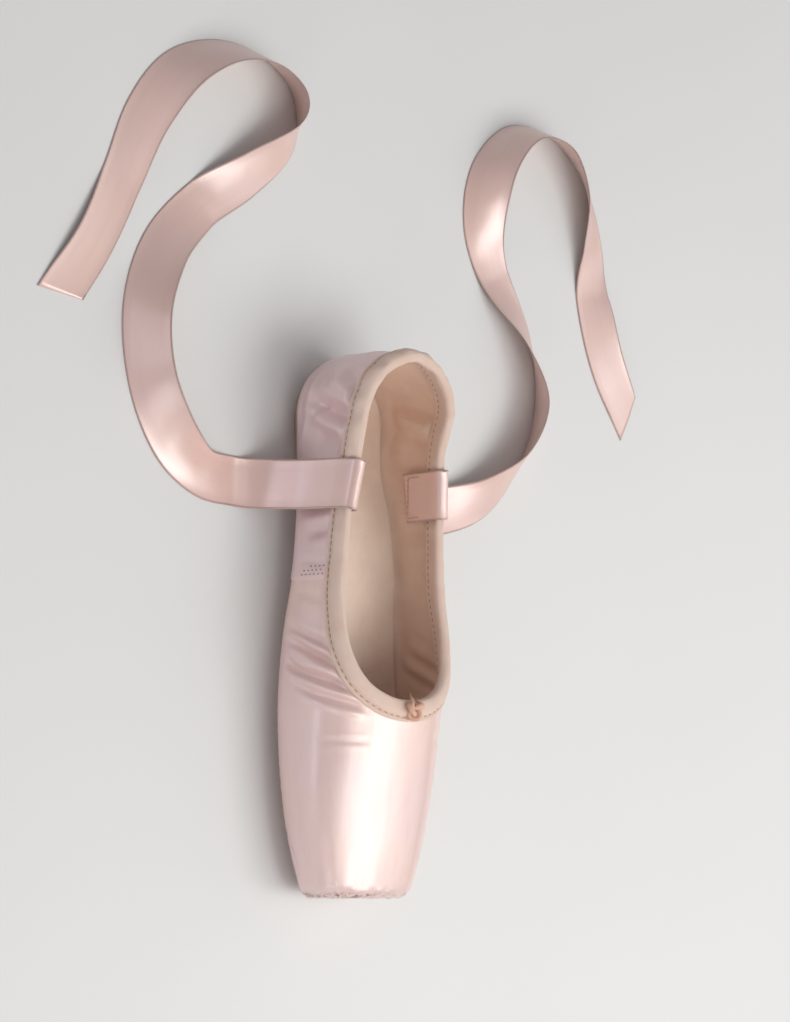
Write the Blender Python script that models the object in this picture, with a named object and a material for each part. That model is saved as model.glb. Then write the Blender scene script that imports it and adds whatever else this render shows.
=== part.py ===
"""A pointe shoe: upper, outsole, insole, binding, drawstring knot and two ribbons.

Metres. X runs from the heel to the toe, Y across the foot and Z up from the floor. A station is a
distance behind the toe tip. A ray is an upright half-plane that starts on the shoe's spine: the rays
fan out round the toe, run straight across the sides and fan out again round the heel.
"""
import math

import bmesh
import bpy
import numpy as np

# Driving dimensions of the last
LENGTH = 0.240
BALL_WIDTH = 0.080
WAIST_WIDTH = 0.063
HEEL_WIDTH = 0.058
PLATFORM_WIDTH = 0.052
PLATFORM_HEIGHT = 0.031
PLATFORM_RIM = 0.005
VAMP_LENGTH = 0.084
INSTEP_HEIGHT = 0.052
SIDE_HEIGHT = 0.041
HEEL_HEIGHT = 0.056
HEEL_ROUND = 0.029
TOE_SPRING = 0.0015
ARCH_RISE = 0.0045

# Walls of the upper
BOX_WALL = 0.0030
QUARTER_WALL = 0.0015
MARGIN_WALL = 0.0020
SEAM_STATION = 0.138
SEAM_STEP = 0.0006
SEAM_FADE = 0.022

# Sole, insole, binding and knot
OUTSOLE_THICKNESS = 0.0026
OUTSOLE_EDGE = 0.0012
OUTSOLE_START = 0.019
OUTSOLE_HEEL_INSET = 0.008
OUTSOLE_BALL_WIDTH = 0.052
OUTSOLE_WAIST_WIDTH = 0.031
OUTSOLE_HEEL_WIDTH = 0.041
SOLE_SEAT = 0.008
INSOLE_THICKNESS = 0.0020
INSOLE_EASE = 0.0022
INSOLE_TOE_EASE = 0.005
BINDING_DEPTH = 0.0080
BINDING_WALL = 0.0009
KNOT_WIDTH = 0.0075
GAP = 0.0003
BED_GAP = 0.0005

# Ribbons
RIBBON_WIDTH = 0.022
RIBBON_THICKNESS = 0.0005
RIBBON_TAB = 0.020
RIBBON_STATION = 0.178

# Shares of a ribbon's fall from the topline: the height and swing where it hangs, and the height and
# reach where it bends on to the floor
HANG_HEIGHT = 0.62
HANG_SWING = 0.15
BEND_HEIGHT = 0.17
BEND_REACH = 0.55

# Places on the last that follow from the dimensions above
HEEL_CENTRE = LENGTH - HEEL_ROUND
FAN_CENTRE = VAMP_LENGTH + 0.35 * BALL_WIDTH
SPINE_HEIGHT = 0.38 * INSTEP_HEIGHT
SEAT_HEIGHT = OUTSOLE_THICKNESS + BED_GAP

# Where the wall changes: behind the box, towards the topline and where it faces down
BOX_FADE_START = 0.55 * VAMP_LENGTH
BOX_FADE = 0.75 * VAMP_LENGTH
TOP_FADE_START = 0.6
TOP_FADE = 0.35
MARGIN_FACING = 0.2
MARGIN_FADE = 0.6

# The seam's step fades below this share of the wall, and stays on faces that look this much sideways
SEAM_LOW_SHARE = 0.3
SEAM_FACING = 0.3

# How far out the last's underside is used, as shares of its half width
UNDERSIDE_REACH = 0.98
SEAT_REACH = 0.85

# Rows of (station, full width of the last)
WIDTHS = (
    (0.000 * LENGTH, 1.000 * PLATFORM_WIDTH),
    (0.060 * LENGTH, 1.200 * PLATFORM_WIDTH),
    (0.140 * LENGTH, 0.900 * BALL_WIDTH),
    (0.240 * LENGTH, 0.975 * BALL_WIDTH),
    (0.340 * LENGTH, 1.000 * BALL_WIDTH),
    (0.460 * LENGTH, 0.945 * BALL_WIDTH),
    (0.600 * LENGTH, 1.060 * WAIST_WIDTH),
    (0.700 * LENGTH, 1.000 * WAIST_WIDTH),
    (0.800 * LENGTH, 0.990 * HEEL_WIDTH),
    (HEEL_CENTRE, 1.000 * HEEL_WIDTH),
)

# Rows of (station, rise of the roof, from 0 at the platform's top to 1 at the throat); behind the
# throat the roof is the instep of the foot, which the collar leaves open
ROOF = (
    (0.00 * VAMP_LENGTH, 0.00),
    (0.17 * VAMP_LENGTH, 0.20),
    (0.40 * VAMP_LENGTH, 0.42),
    (0.70 * VAMP_LENGTH, 0.70),
    (1.00 * VAMP_LENGTH, 1.00),
    (1.30 * VAMP_LENGTH, 1.45),
    (1.75 * VAMP_LENGTH, 2.30),
    (2.20 * VAMP_LENGTH, 2.80),
    (LENGTH, 3.10),
)

# Rows of (station, share of the toe spring, share of the arch rise)
FLOOR_LINE = (
    (0.00 * LENGTH, 1.00, 0.00),
    (0.08 * LENGTH, 0.35, 0.00),
    (0.15 * LENGTH, 0.00, 0.00),
    (0.42 * LENGTH, 0.00, 0.00),
    (0.50 * LENGTH, 0.00, 0.30),
    (0.61 * LENGTH, 0.00, 1.00),
    (0.69 * LENGTH, 0.00, 0.85),
    (0.79 * LENGTH, 0.00, 0.10),
    (0.83 * LENGTH, 0.00, 0.00),
    (1.00 * LENGTH, 0.00, 0.00),
)

# Rows of (station, height of the widest line, roundness of the lower wall, roundness of the upper wall)
WALLS = (
    (0.00 * LENGTH, 0.37 * INSTEP_HEIGHT, 2.7, 2.7),
    (0.10 * LENGTH, 0.37 * INSTEP_HEIGHT, 3.0, 2.5),
    (0.34 * LENGTH, 0.38 * INSTEP_HEIGHT, 3.8, 2.3),
    (0.60 * LENGTH, 0.35 * INSTEP_HEIGHT, 3.6, 2.3),
    (0.88 * LENGTH, 0.40 * INSTEP_HEIGHT, 3.8, 2.4),
)

# Rows of (height, reach of the heel behind its centre as a share of its rounding)
HEEL_BACK = (
    (0.00 * HEEL_HEIGHT, 0.95),
    (0.18 * HEEL_HEIGHT, 0.98),
    (0.38 * HEEL_HEIGHT, 1.00),
    (0.62 * HEEL_HEIGHT, 0.99),
    (0.82 * HEEL_HEIGHT, 0.96),
    (1.00 * HEEL_HEIGHT, 0.92),
    (1.60 * HEEL_HEIGHT, 0.78),
)

# Rows of (share of the way from throat to heel, fall from the instep height, rise to the heel height)
TOPLINE = (
    (0.00, 1.00, 0.00),
    (0.08, 0.60, 0.00),
    (0.20, 0.20, 0.00),
    (0.35, 0.00, 0.00),
    (0.50, 0.00, 0.07),
    (0.70, 0.00, 0.34),
    (0.88, 0.00, 0.80),
    (1.00, 0.00, 1.00),
)
THROAT_CUT_SLOPE = 0.5

# Rows of (share of the outsole's length, full width)
OUTSOLE_WIDTHS = (
    (0.00, 0.86 * OUTSOLE_BALL_WIDTH),
    (0.15, 0.97 * OUTSOLE_BALL_WIDTH),
    (0.30, 1.00 * OUTSOLE_BALL_WIDTH),
    (0.42, 0.90 * OUTSOLE_BALL_WIDTH),
    (0.60, 1.02 * OUTSOLE_WAIST_WIDTH),
    (0.68, 1.00 * OUTSOLE_WAIST_WIDTH),
    (0.84, 0.97 * OUTSOLE_HEEL_WIDTH),
    (0.92, 1.00 * OUTSOLE_HEEL_WIDTH),
    (1.00, 1.00 * OUTSOLE_HEEL_WIDTH),
)
OUTSOLE_TOE_ROUND = 0.024
OUTSOLE_HEEL_ROUND = 0.020
OUTSOLE_TIP = 0.0001

# Places across the outsole's top and out along the insole, as shares of the half width
OUTSOLE_COLUMNS = (-1.0, -0.62, -0.22, 0.22, 0.62, 1.0)
INSOLE_COLUMNS = (0.0, 0.45, 0.8, 1.0)

# Rows of (X, Y on the left of the shoe, turn of the ribbon about its run in degrees); the ribbon stands
# on its lower edge where it is turned, and lies flat where it isn't
MEDIAL_RIBBON = (
    (-0.060, -0.058, 0),
    (-0.062, -0.077, 8),
    (-0.074, -0.098, 38),
    (-0.098, -0.114, 60),
    (-0.128, -0.117, 56),
    (-0.156, -0.104, 30),
    (-0.178, -0.080, 4),
    (-0.196, -0.052, -22),
    (-0.215, -0.029, -48),
    (-0.235, -0.028, -62),
    (-0.247, -0.047, -64),
    (-0.247, -0.072, -56),
    (-0.235, -0.096, -38),
    (-0.212, -0.113, -16),
    (-0.183, -0.125, 0),
    (-0.155, -0.140, 6),
    (-0.130, -0.158, 0),
)
LATERAL_RIBBON = (
    (-0.056, 0.058, 0),
    (-0.058, 0.078, -8),
    (-0.066, 0.102, -30),
    (-0.085, 0.124, -56),
    (-0.112, 0.136, -60),
    (-0.142, 0.130, -36),
    (-0.168, 0.114, -8),
    (-0.194, 0.101, 22),
    (-0.222, 0.103, 54),
    (-0.242, 0.123, 66),
    (-0.241, 0.151, 62),
    (-0.222, 0.172, 42),
    (-0.195, 0.181, 16),
    (-0.166, 0.184, -8),
    (-0.138, 0.194, -10),
    (-0.114, 0.211, 0),
)
RIBBON_STEP = 0.008
RIBBON_UPRIGHT_ROWS = 7

# Mesh density
RAYS_PER_SIDE = 36
WALL_ROWS = 21
PROFILE_SAMPLES = 420
ROW_SAMPLES = 240
OUTLINE_SAMPLES = 400
SEAM_HALF = 0.0006
ROW_BEND_WEIGHT = 0.004
OUTLINE_BEND_WEIGHT = 0.016


def curve(rows, column=1):
    """A smooth function through the rows' first column and another, which overshoots neither."""
    places = np.array([row[0] for row in rows], float)
    values = np.array([row[column] for row in rows], float)
    steps = np.diff(places)
    slopes = np.diff(values) / steps
    leans = np.concatenate([slopes[:1], np.zeros(len(rows) - 2), slopes[-1:]])
    for i in range(1, len(rows) - 1):
        if slopes[i - 1] * slopes[i] > 0:
            leans[i] = 2 * slopes[i - 1] * slopes[i] / (slopes[i - 1] + slopes[i])
    fine = np.linspace(places[0], places[-1], 1501)
    i = np.clip(np.searchsorted(places, fine, side="right") - 1, 0, len(rows) - 2)
    f = (fine - places[i]) / steps[i]
    start = (1 + 2 * f) * (1 - f) ** 2 * values[i] + f * (1 - f) ** 2 * steps[i] * leans[i]
    end = f * f * (3 - 2 * f) * values[i + 1] + f * f * (f - 1) * steps[i] * leans[i + 1]
    smooth = start + end
    return lambda at: np.interp(at, fine, smooth)


def ease(share):
    """A soft step from 0 to 1."""
    share = np.clip(share, 0, 1)
    return share * share * (3 - 2 * share)


width_at = curve(WIDTHS)
roof_rise = curve(ROOF)
spring_share = curve(FLOOR_LINE, 1)
arch_share = curve(FLOOR_LINE, 2)
widest_at = curve(WALLS, 1)
lower_round = curve(WALLS, 2)
upper_round = curve(WALLS, 3)
heel_reach = curve(HEEL_BACK)
topline_fall = curve(TOPLINE, 1)
topline_rise = curve(TOPLINE, 2)
outsole_width = curve(OUTSOLE_WIDTHS)


def arch_height(station):
    return ARCH_RISE * arch_share(station)


def bottom_at(station):
    """Height of the last's flat bottom, which stands on the outsole."""
    return SEAT_HEIGHT + TOE_SPRING * spring_share(station) + arch_height(station)


def roof_at(station):
    platform_top = SEAT_HEIGHT + TOE_SPRING + PLATFORM_HEIGHT
    return platform_top + (INSTEP_HEIGHT - platform_top) * roof_rise(station)


def rim_inset(station):
    """How far the rounded rim of the platform draws the sections in."""
    left = np.clip(PLATFORM_RIM - station, 0, PLATFORM_RIM)
    return PLATFORM_RIM - np.sqrt(PLATFORM_RIM ** 2 - left ** 2)


def spread(station, y, z):
    """0 on the last's middle plane and 1 on its widest outline, also round the heel."""
    half = width_at(station) / 2 - rim_inset(station)
    behind = np.clip(station - HEEL_CENTRE, 0, None) / (HEEL_ROUND * heel_reach(z))
    return np.hypot(y / half, behind)


def inside_last(station, y, z):
    inset = rim_inset(station)
    middle = widest_at(station)
    out = spread(station, y, z)
    up = np.clip((z - middle) / (roof_at(station) - inset - middle), 0, 2)
    down = np.clip((middle - z) / (middle - bottom_at(station) - inset), 0, 2)
    power = np.where(z > middle, upper_round(station), lower_round(station))
    return (station > 0) & (out ** power + np.maximum(up, down) ** power < 1)


def underside(station, y):
    """Height of the last's bottom surface at a place in plan."""
    middle = widest_at(station)
    depth = middle - bottom_at(station) - rim_inset(station)
    out = np.clip(spread(station, y, bottom_at(station)), 0, UNDERSIDE_REACH)
    power = lower_round(station)
    return middle - depth * (1 - out ** power) ** (1 / power)


def seat(station, y):
    """Height of the last's bottom surface without the platform's rim and the turn up at the edge."""
    middle = widest_at(station)
    depth = middle - bottom_at(station)
    out = np.clip(spread(np.maximum(station, PLATFORM_RIM), y, bottom_at(station)), 0, SEAT_REACH)
    power = lower_round(station)
    return middle - depth * (1 - out ** power) ** (1 / power)


def topline_height(station):
    share = (station - VAMP_LENGTH) / (LENGTH - VAMP_LENGTH)
    height = (
        SIDE_HEIGHT
        + (INSTEP_HEIGHT - SIDE_HEIGHT) * topline_fall(share)
        + (HEEL_HEIGHT - SIDE_HEIGHT) * topline_rise(share)
    )
    return height + THROAT_CUT_SLOPE * np.clip(VAMP_LENGTH - station, 0, None)


def outsole_half(station):
    """Half the outsole's width, 0 beyond its rounded ends."""
    length = LENGTH - OUTSOLE_START - OUTSOLE_HEEL_INSET
    along = station - OUTSOLE_START
    toe = np.clip(1 - along / OUTSOLE_TOE_ROUND, 0, 1)
    heel = np.clip(1 - (length - along) / OUTSOLE_HEEL_ROUND, 0, 1)
    ends = np.sqrt(np.clip(1 - toe ** 2.4, 0, 1)) * np.sqrt(np.clip(1 - heel ** 2, 0, 1))
    return outsole_width(along / length) / 2 * ends


def solve(test, low, high, steps=40):
    """The largest reach for which the test holds, for each ray."""
    low = np.array(low, float)
    high = np.array(high, float)
    for _ in range(steps):
        middle = (low + high) / 2
        held = test(middle)
        low = np.where(held, middle, low)
        high = np.where(held, high, middle)
    return (low + high) / 2


def ray_plan(place):
    """Spine station and outward direction (station, y) of rays placed along the spine's round trip.

    The trip starts at the heel, runs along the left of the shoe to the toe and back along its right.
    """
    turn = math.pi / 2 * HEEL_ROUND
    side = HEEL_CENTRE - FAN_CENTRE
    toe = math.pi / 2 * BALL_WIDTH / 2
    half = turn + side + toe
    place = np.asarray(place, float)
    mirror = np.where(place > half, 1.0, -1.0)
    trip = half - np.abs(half - place)
    angle = np.where(
        trip < turn,
        math.pi / 2 - trip / turn * math.pi / 2,
        -np.clip((trip - turn - side) / toe, 0, 1) * math.pi / 2,
    )
    spine = np.clip(HEEL_CENTRE - (trip - turn), FAN_CENTRE, HEEL_CENTRE)
    return spine, np.sin(angle), mirror * np.cos(angle), 2 * half


def ray_points(place, angles):
    """Outer skin points (station, y, z) where the rays leave the last at the given lifts."""
    spine, along, across, _ = ray_plan(place)
    spine, along, across = spine[:, None], along[:, None], across[:, None]
    out = np.cos(angles)
    lift = np.sin(angles)

    def held(reach):
        flat = reach * out
        return inside_last(spine + flat * along, flat * across, SPINE_HEIGHT + reach * lift)

    reach = solve(held, np.zeros(angles.shape), np.full(angles.shape, LENGTH), 36)
    flat = reach * out
    return np.stack([spine + flat * along, flat * across, SPINE_HEIGHT + reach * lift], axis=2)


def lifts(place, samples):
    """Angles that sweep each ray from below the sole to the roof in nearly even steps."""
    ends = ray_points(place, np.zeros((len(place), 1)))[:, 0]
    spine = ray_plan(place)[0]
    reach = np.hypot(ends[:, 0] - spine, ends[:, 1])
    shares = np.linspace(0, 1, samples)
    below = SPINE_HEIGHT - SEAT_HEIGHT
    above = INSTEP_HEIGHT - SPINE_HEIGHT
    length = 2 * reach + below + above
    run = shares[None, :] * length[:, None]
    flat = np.clip(run, 0.02 * reach[:, None], reach[:, None])
    rise = np.clip(run - reach[:, None], 0, below + above) - below
    back = np.clip(run - reach[:, None] - below - above, 0, None)
    return np.arctan2(rise, np.maximum(flat - back, 0.001))


def opening_reach(place):
    """How far along each ray the hole under the foot runs."""
    spine, along, across, _ = ray_plan(place)

    def held(reach):
        station = spine + reach * along
        half = outsole_half(station) - SOLE_SEAT
        front = OUTSOLE_START + SOLE_SEAT
        back = LENGTH - OUTSOLE_HEEL_INSET - SOLE_SEAT
        return (np.abs(reach * across) < half) & (station > front) & (station < back)

    return solve(held, np.zeros(len(place)), np.full(len(place), LENGTH))


class Skin:
    """The outer surface of the upper along a set of rays, from the hole below to the topline."""

    def __init__(self, place):
        self.place = np.asarray(place, float)
        points = ray_points(self.place, lifts(self.place, PROFILE_SAMPLES))
        spine = ray_plan(self.place)[0]
        flat = np.hypot(points[:, :, 0] - spine[:, None], points[:, :, 1])
        over = points[:, :, 2] - topline_height(points[:, :, 0])
        steps = np.linalg.norm(np.diff(points, axis=1), axis=2)
        self.points = points
        self.run = np.concatenate([np.zeros((len(points), 1)), np.cumsum(steps, axis=1)], axis=1)
        hole = opening_reach(self.place)
        self.start = np.array([np.interp(h, f[:k], r[:k]) for h, f, r, k in zip(
            hole, flat, self.run, np.argmax(flat, axis=1))])
        self.top = np.array([self.crossing(o, r) for o, r in zip(over, self.run)])

    @staticmethod
    def crossing(over, run):
        k = int(np.argmax(over > 0))
        share = over[k - 1] / (over[k - 1] - over[k])
        return run[k - 1] + share * (run[k] - run[k - 1])

    def at(self, runs):
        """Points at the given distances along each ray."""
        found = [
            np.stack([np.interp(r, run, pts[:, i]) for i in range(3)], axis=1)
            for r, run, pts in zip(runs, self.run, self.points)
        ]
        return np.array(found)


def crowd(line, values, count, bend_weight):
    """Values at points spread along a fine line, closer together where it bends."""
    legs = np.diff(line, axis=0)
    size = np.linalg.norm(legs, axis=1)
    turns = np.linalg.norm(np.diff(legs / size[:, None], axis=0), axis=1)
    blur = 9
    turns = np.convolve(np.concatenate([[0], turns]), np.ones(blur) / blur, mode="same")
    weight = np.concatenate([[0], np.cumsum(size + bend_weight * turns)])
    return np.interp(np.linspace(0, weight[-1], count + 1), weight, values)


def even_rows(skin, rows):
    """Distances along each ray, from the hole below to the topline."""
    result = []
    for run, points, start, top in zip(skin.run, skin.points, skin.start, skin.top):
        fine = np.linspace(start, top, ROW_SAMPLES)
        line = np.stack([np.interp(fine, run, column) for column in points.T], axis=1)
        result.append(crowd(line, fine, rows, ROW_BEND_WEIGHT))
    return np.array(result)


def wall_at(station, share, facing):
    """Wall thickness: stiff in the box, thin in the quarters, steady in the margin underneath.

    The share runs from the hole below to the topline, and facing is the height of the outward normal.
    """
    behind = ease((station - BOX_FADE_START) / BOX_FADE)
    wall = BOX_WALL + (QUARTER_WALL - BOX_WALL) * behind
    wall = wall + (QUARTER_WALL - wall) * ease((share - TOP_FADE_START) / TOP_FADE)
    return wall + (MARGIN_WALL - wall) * ease((-facing - MARGIN_FACING) / MARGIN_FADE)


def seam_step(station):
    """The quarters lap over the vamp at the side seams."""
    behind = station - SEAM_STATION
    return np.where(behind > 0, SEAM_STEP * np.clip(1 - behind / SEAM_FADE, 0, 1), 0.0)


def skin_grid(place, runs_of):
    """Points and outward normals of the outer skin on a grid of rays and rows."""
    nudge = 0.0005
    skin = Skin(place)
    runs = runs_of(skin)
    share = (runs - skin.start[:, None]) / (skin.top - skin.start)[:, None]
    sides = []
    for side in (Skin(skin.place - nudge), Skin(skin.place + nudge)):
        sides.append(side.at(side.start[:, None] + share * (side.top - side.start)[:, None]))
    points = skin.at(runs)
    upward = skin.at(runs + nudge) - skin.at(runs - nudge)
    normals = np.cross(sides[1] - sides[0], upward)
    normals /= np.linalg.norm(normals, axis=2)[:, :, None]
    outward = points - np.stack(
        [ray_plan(place)[0], np.zeros(len(place)), np.full(len(place), SPINE_HEIGHT)], axis=1)[:, None, :]
    flip = np.sign(np.sum(normals * outward, axis=2))[:, :, None]
    normals *= flip
    sideways = np.abs(normals[:, :, 1]) > SEAM_FACING
    step = seam_step(points[:, :, 0]) * np.clip(share / SEAM_LOW_SHARE, 0, 1) * sideways
    return points + normals * step[:, :, None], normals, share, runs


def even_places(count):
    """Rays spread along the shoe's outline, the same on both sides, and a close pair at each seam."""
    whole = ray_plan(np.zeros(1))[3]
    fine = np.linspace(0, whole / 2, OUTLINE_SAMPLES)
    ends = ray_points(fine, np.zeros((len(fine), 1)))[:, 0, :2]
    place = crowd(ends, fine, count, OUTLINE_BEND_WEIGHT)
    seam = np.interp(-SEAM_STATION, -ray_plan(fine)[0], fine)
    nearest = int(np.argmin(np.abs(place - seam)))
    place[nearest] = seam - SEAM_HALF
    place = np.insert(place, nearest + 1, seam + SEAM_HALF)
    return np.concatenate([place, (whole - place[1:-1])[::-1]])


def world(points):
    """Turn (station, y, z) into X, Y, Z."""
    points = np.asarray(points, float)
    return np.stack([LENGTH / 2 - points[..., 0], points[..., 1], points[..., 2]], axis=-1)


def material(name, colour, roughness, metallic=0.0):
    finish = bpy.data.materials.new(name)
    finish.use_nodes = True
    shader = finish.node_tree.nodes["Principled BSDF"]
    shader.inputs["Base Color"].default_value = (*colour, 1)
    shader.inputs["Roughness"].default_value = roughness
    shader.inputs["Metallic"].default_value = metallic
    return finish


def add_object(name, shape, finish, parent, smooth_angle=40):
    """Weld a bmesh, point its faces outward and hang it in the scene."""
    bmesh.ops.remove_doubles(shape, verts=shape.verts, dist=1e-6)
    bmesh.ops.dissolve_degenerate(shape, edges=shape.edges, dist=1e-6)
    bmesh.ops.recalc_face_normals(shape, faces=shape.faces)
    mesh = bpy.data.meshes.new(name)
    shape.to_mesh(mesh)
    shape.free()
    mesh.materials.append(finish)
    mesh.shade_smooth()
    mesh.set_sharp_from_angle(angle=math.radians(smooth_angle))
    made = bpy.data.objects.new(name, mesh)
    bpy.context.collection.objects.link(made)
    made.parent = parent
    return made


def ring_loft(rings, closed, hinged=False):
    """Join rings of equal length; the loft closes on itself or is capped at both ends.

    A hinged loft's rings are open lines, whose ends meet those of the rings across the spine.
    """
    shape = bmesh.new()
    verts = [[shape.verts.new(point) for point in ring] for ring in rings]
    count = len(rings[0])
    spans = len(rings) if closed else len(rings) - 1
    for i in range(spans):
        here, there = verts[i], verts[(i + 1) % len(rings)]
        for j in range(count - 1 if hinged else count):
            k = (j + 1) % count
            shape.faces.new((here[j], here[k], there[k], there[j]))
    if not closed:
        shape.faces.new(verts[0])
        shape.faces.new(verts[-1])
    return shape


def make_upper(place, parent):
    points, normals, share, _ = skin_grid(place, lambda skin: even_rows(skin, WALL_ROWS))
    wall = wall_at(points[:, :, 0], share, normals[:, :, 2])
    inner = points - normals * wall[:, :, None]
    rings = [world(np.concatenate([out, back[::-1]])) for out, back in zip(points, inner)]
    satin = material("satin_upper", (0.80, 0.60, 0.54), 0.38)
    return add_object("upper", ring_loft(rings, True), satin, parent), inner


def make_binding(place, parent):
    """A tape folded over the topline: a leaf outside, a leaf inside and the fold above."""
    depths = (BINDING_DEPTH, BINDING_DEPTH / 2, 0.0)
    points, normals, share, _ = skin_grid(
        place, lambda skin: np.stack([skin.top - depth for depth in depths], axis=1))
    wall = wall_at(points[:, :, 0], share, normals[:, :, 2])[:, :, None]
    rise = points[:, 2] - points[:, 1]
    rise /= np.linalg.norm(rise, axis=1)[:, None]
    outer_near = points + normals * BED_GAP
    outer_far = points + normals * (BED_GAP + BINDING_WALL)
    inner_near = points - normals * (wall + BED_GAP)
    inner_far = points - normals * (wall + BED_GAP + BINDING_WALL)
    fold_near = rise * GAP
    fold_far = rise * (GAP + BINDING_WALL)
    rings = []
    for i in range(len(place)):
        near_out = [outer_near[i, 0], outer_near[i, 1], outer_near[i, 2] + fold_near[i]]
        far_out = [outer_far[i, 0], outer_far[i, 1], outer_far[i, 2]]
        near_in = [inner_near[i, 0], inner_near[i, 1], inner_near[i, 2] + fold_near[i]]
        far_in = [inner_far[i, 0], inner_far[i, 1], inner_far[i, 2]]
        crown = [outer_near[i, 2] + fold_far[i], inner_near[i, 2] + fold_far[i]]
        rings.append(world(far_out + crown + far_in[::-1] + near_in + near_out[::-1]))
    cotton = material("cotton_binding", (0.72, 0.47, 0.36), 0.85)
    return add_object("binding", ring_loft(rings, True), cotton, parent)


def make_outsole(parent):
    """One leather sole, flat under the ball and the heel, whose top follows the upper."""
    start = OUTSOLE_START
    end = LENGTH - OUTSOLE_HEEL_INSET
    turn = np.linspace(0, math.pi / 2, 9)
    toe = start + OUTSOLE_TOE_ROUND * (1 - np.cos(turn))
    heel = end - OUTSOLE_HEEL_ROUND * (1 - np.cos(turn[::-1]))
    middle = np.linspace(toe[-1], heel[0], 21)[1:-1]
    stations = np.concatenate([toe, middle, heel])
    columns = np.array(OUTSOLE_COLUMNS)
    rings = []
    for station in stations:
        half = float(outsole_half(station)) + OUTSOLE_TIP
        top_y = columns * half
        top_z = underside(np.full(len(columns), station), top_y) - BED_GAP
        low = float(arch_height(station))
        trim = min(OUTSOLE_EDGE, 0.5 * half)
        low_y = np.array([half, half - trim, trim - half, -half])
        low_z = np.array([low + OUTSOLE_EDGE / 2, low, low, low + OUTSOLE_EDGE / 2])
        y = np.concatenate([top_y, low_y])
        z = np.concatenate([top_z, low_z])
        rings.append(world(np.stack([np.full(len(y), station), y, z], axis=1)))
    leather = material("outsole_leather", (0.55, 0.40, 0.28), 0.75)
    return add_object("outsole", ring_loft(rings, False), leather, parent, 30)


def insole_edge(inner, rise):
    """Where each line of the wall's inner side crosses a height above the underside, in plan."""
    edge = []
    for line in inner:
        over = line[:, 2] - seat(line[:, 0], line[:, 1]) - rise
        k = int(np.argmax(over > 0))
        share = over[k - 1] / (over[k - 1] - over[k])
        edge.append(line[k - 1, :2] + share * (line[k, :2] - line[k - 1, :2]))
    return np.array(edge)


def make_insole(place, parent):
    """The board inside, on the lasting margin, whose edge follows the wall."""
    points, normals, share, _ = skin_grid(place, lambda skin: even_rows(skin, WALL_ROWS))
    wall = wall_at(points[:, :, 0], share, normals[:, :, 2])
    inner = points - normals * wall[:, :, None]
    spine = ray_plan(place)[0]
    centre = np.stack([spine, np.zeros(len(spine))], axis=1)
    low_rise = MARGIN_WALL + BED_GAP
    rings = [[] for _ in place]
    for rise, shares in ((low_rise + INSOLE_THICKNESS, INSOLE_COLUMNS), (low_rise, INSOLE_COLUMNS[::-1])):
        edge = insole_edge(inner, rise)
        reach = np.linalg.norm(edge - centre, axis=1)
        drawn = INSOLE_EASE + INSOLE_TOE_EASE * ease(1 - edge[:, 0] / (VAMP_LENGTH / 2))
        edge = centre + (edge - centre) * (1 - drawn / reach)[:, None]
        for part in shares:
            plan = centre + (edge - centre) * part
            height = seat(plan[:, 0], plan[:, 1]) + rise
            for ring, (station, y), z in zip(rings, plan, height):
                ring.append((station, y, z))
    canvas = material("insole_canvas", (0.70, 0.58, 0.46), 0.9)
    loft = ring_loft([world(ring) for ring in rings], True, hinged=True)
    return add_object("insole", loft, canvas, parent)


def make_knot(parent):
    """A small knot of drawstring on the binding at the throat, its ends tucked in."""
    whole = ray_plan(np.zeros(1))[3]
    point, normal, _, _ = skin_grid(
        np.array([whole / 2]), lambda skin: (skin.top - BINDING_DEPTH / 2)[:, None])
    point, normal = world(point[0, 0]), normal[0, 0] * np.array([-1, 1, 1])
    half_width = KNOT_WIDTH / 2
    half_length = 0.75 * half_width
    half_height = 0.55 * half_width
    base = point + normal * (BED_GAP + BINDING_WALL + GAP)
    shape = bmesh.new()
    bmesh.ops.create_uvsphere(shape, u_segments=14, v_segments=8, radius=1.0)
    along = np.array([normal[2], 0.0, -normal[0]])
    across = np.array([0.0, 1.0, 0.0])
    for vert in shape.verts:
        x, y, z = vert.co
        spot = base + along * (half_length * x) + across * (half_width * y)
        vert.co = spot + normal * (half_height * (z + 1))
    cotton = material("drawstring_cotton", (0.80, 0.60, 0.50), 0.85)
    return add_object("drawstring_knot", shape, cotton, parent, 60)


def route(rows, close_rows, step):
    """A smooth curve through the rows: closely spaced at its start, then by even steps."""
    parts = 12
    rows = np.array(rows, float)
    rows = np.concatenate([[2 * rows[0] - rows[1]], rows, [2 * rows[-1] - rows[-2]]])
    line = []
    for a, b, c, d in zip(rows, rows[1:], rows[2:], rows[3:]):
        for f in np.arange(parts) / parts:
            bend = (2 * a - 5 * b + 4 * c - d) * f ** 2 + (3 * b - a - 3 * c + d) * f ** 3
            line.append(b + ((c - a) * f + bend) / 2)
    line = np.array(line + [rows[-2]])
    run = np.concatenate([[0], np.cumsum(np.linalg.norm(np.diff(line[:, :3], axis=0), axis=1))])
    turn = parts * close_rows
    count = int(round((run[-1] - run[turn]) / step))
    wanted = np.concatenate([run[:turn:parts // 4], np.linspace(run[turn], run[-1], count + 1)])
    return np.stack([np.interp(wanted, run, column) for column in line.T], axis=1)


def skin_spots(side, stations, drops):
    """Skin points and normals in X, Y, Z at stations on one side and depths below the topline."""
    whole = ray_plan(np.zeros(1))[3]
    fine = np.linspace(0, whole / 2, OUTLINE_SAMPLES)
    place = np.interp(-np.array(stations), -ray_plan(fine)[0], fine)
    place = place if side < 0 else whole - place
    points, normals, _, _ = skin_grid(
        place, lambda skin: np.stack([skin.top - drop for drop in drops], axis=1))
    return world(points), normals * np.array([-1.0, 1.0, 1.0])


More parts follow.
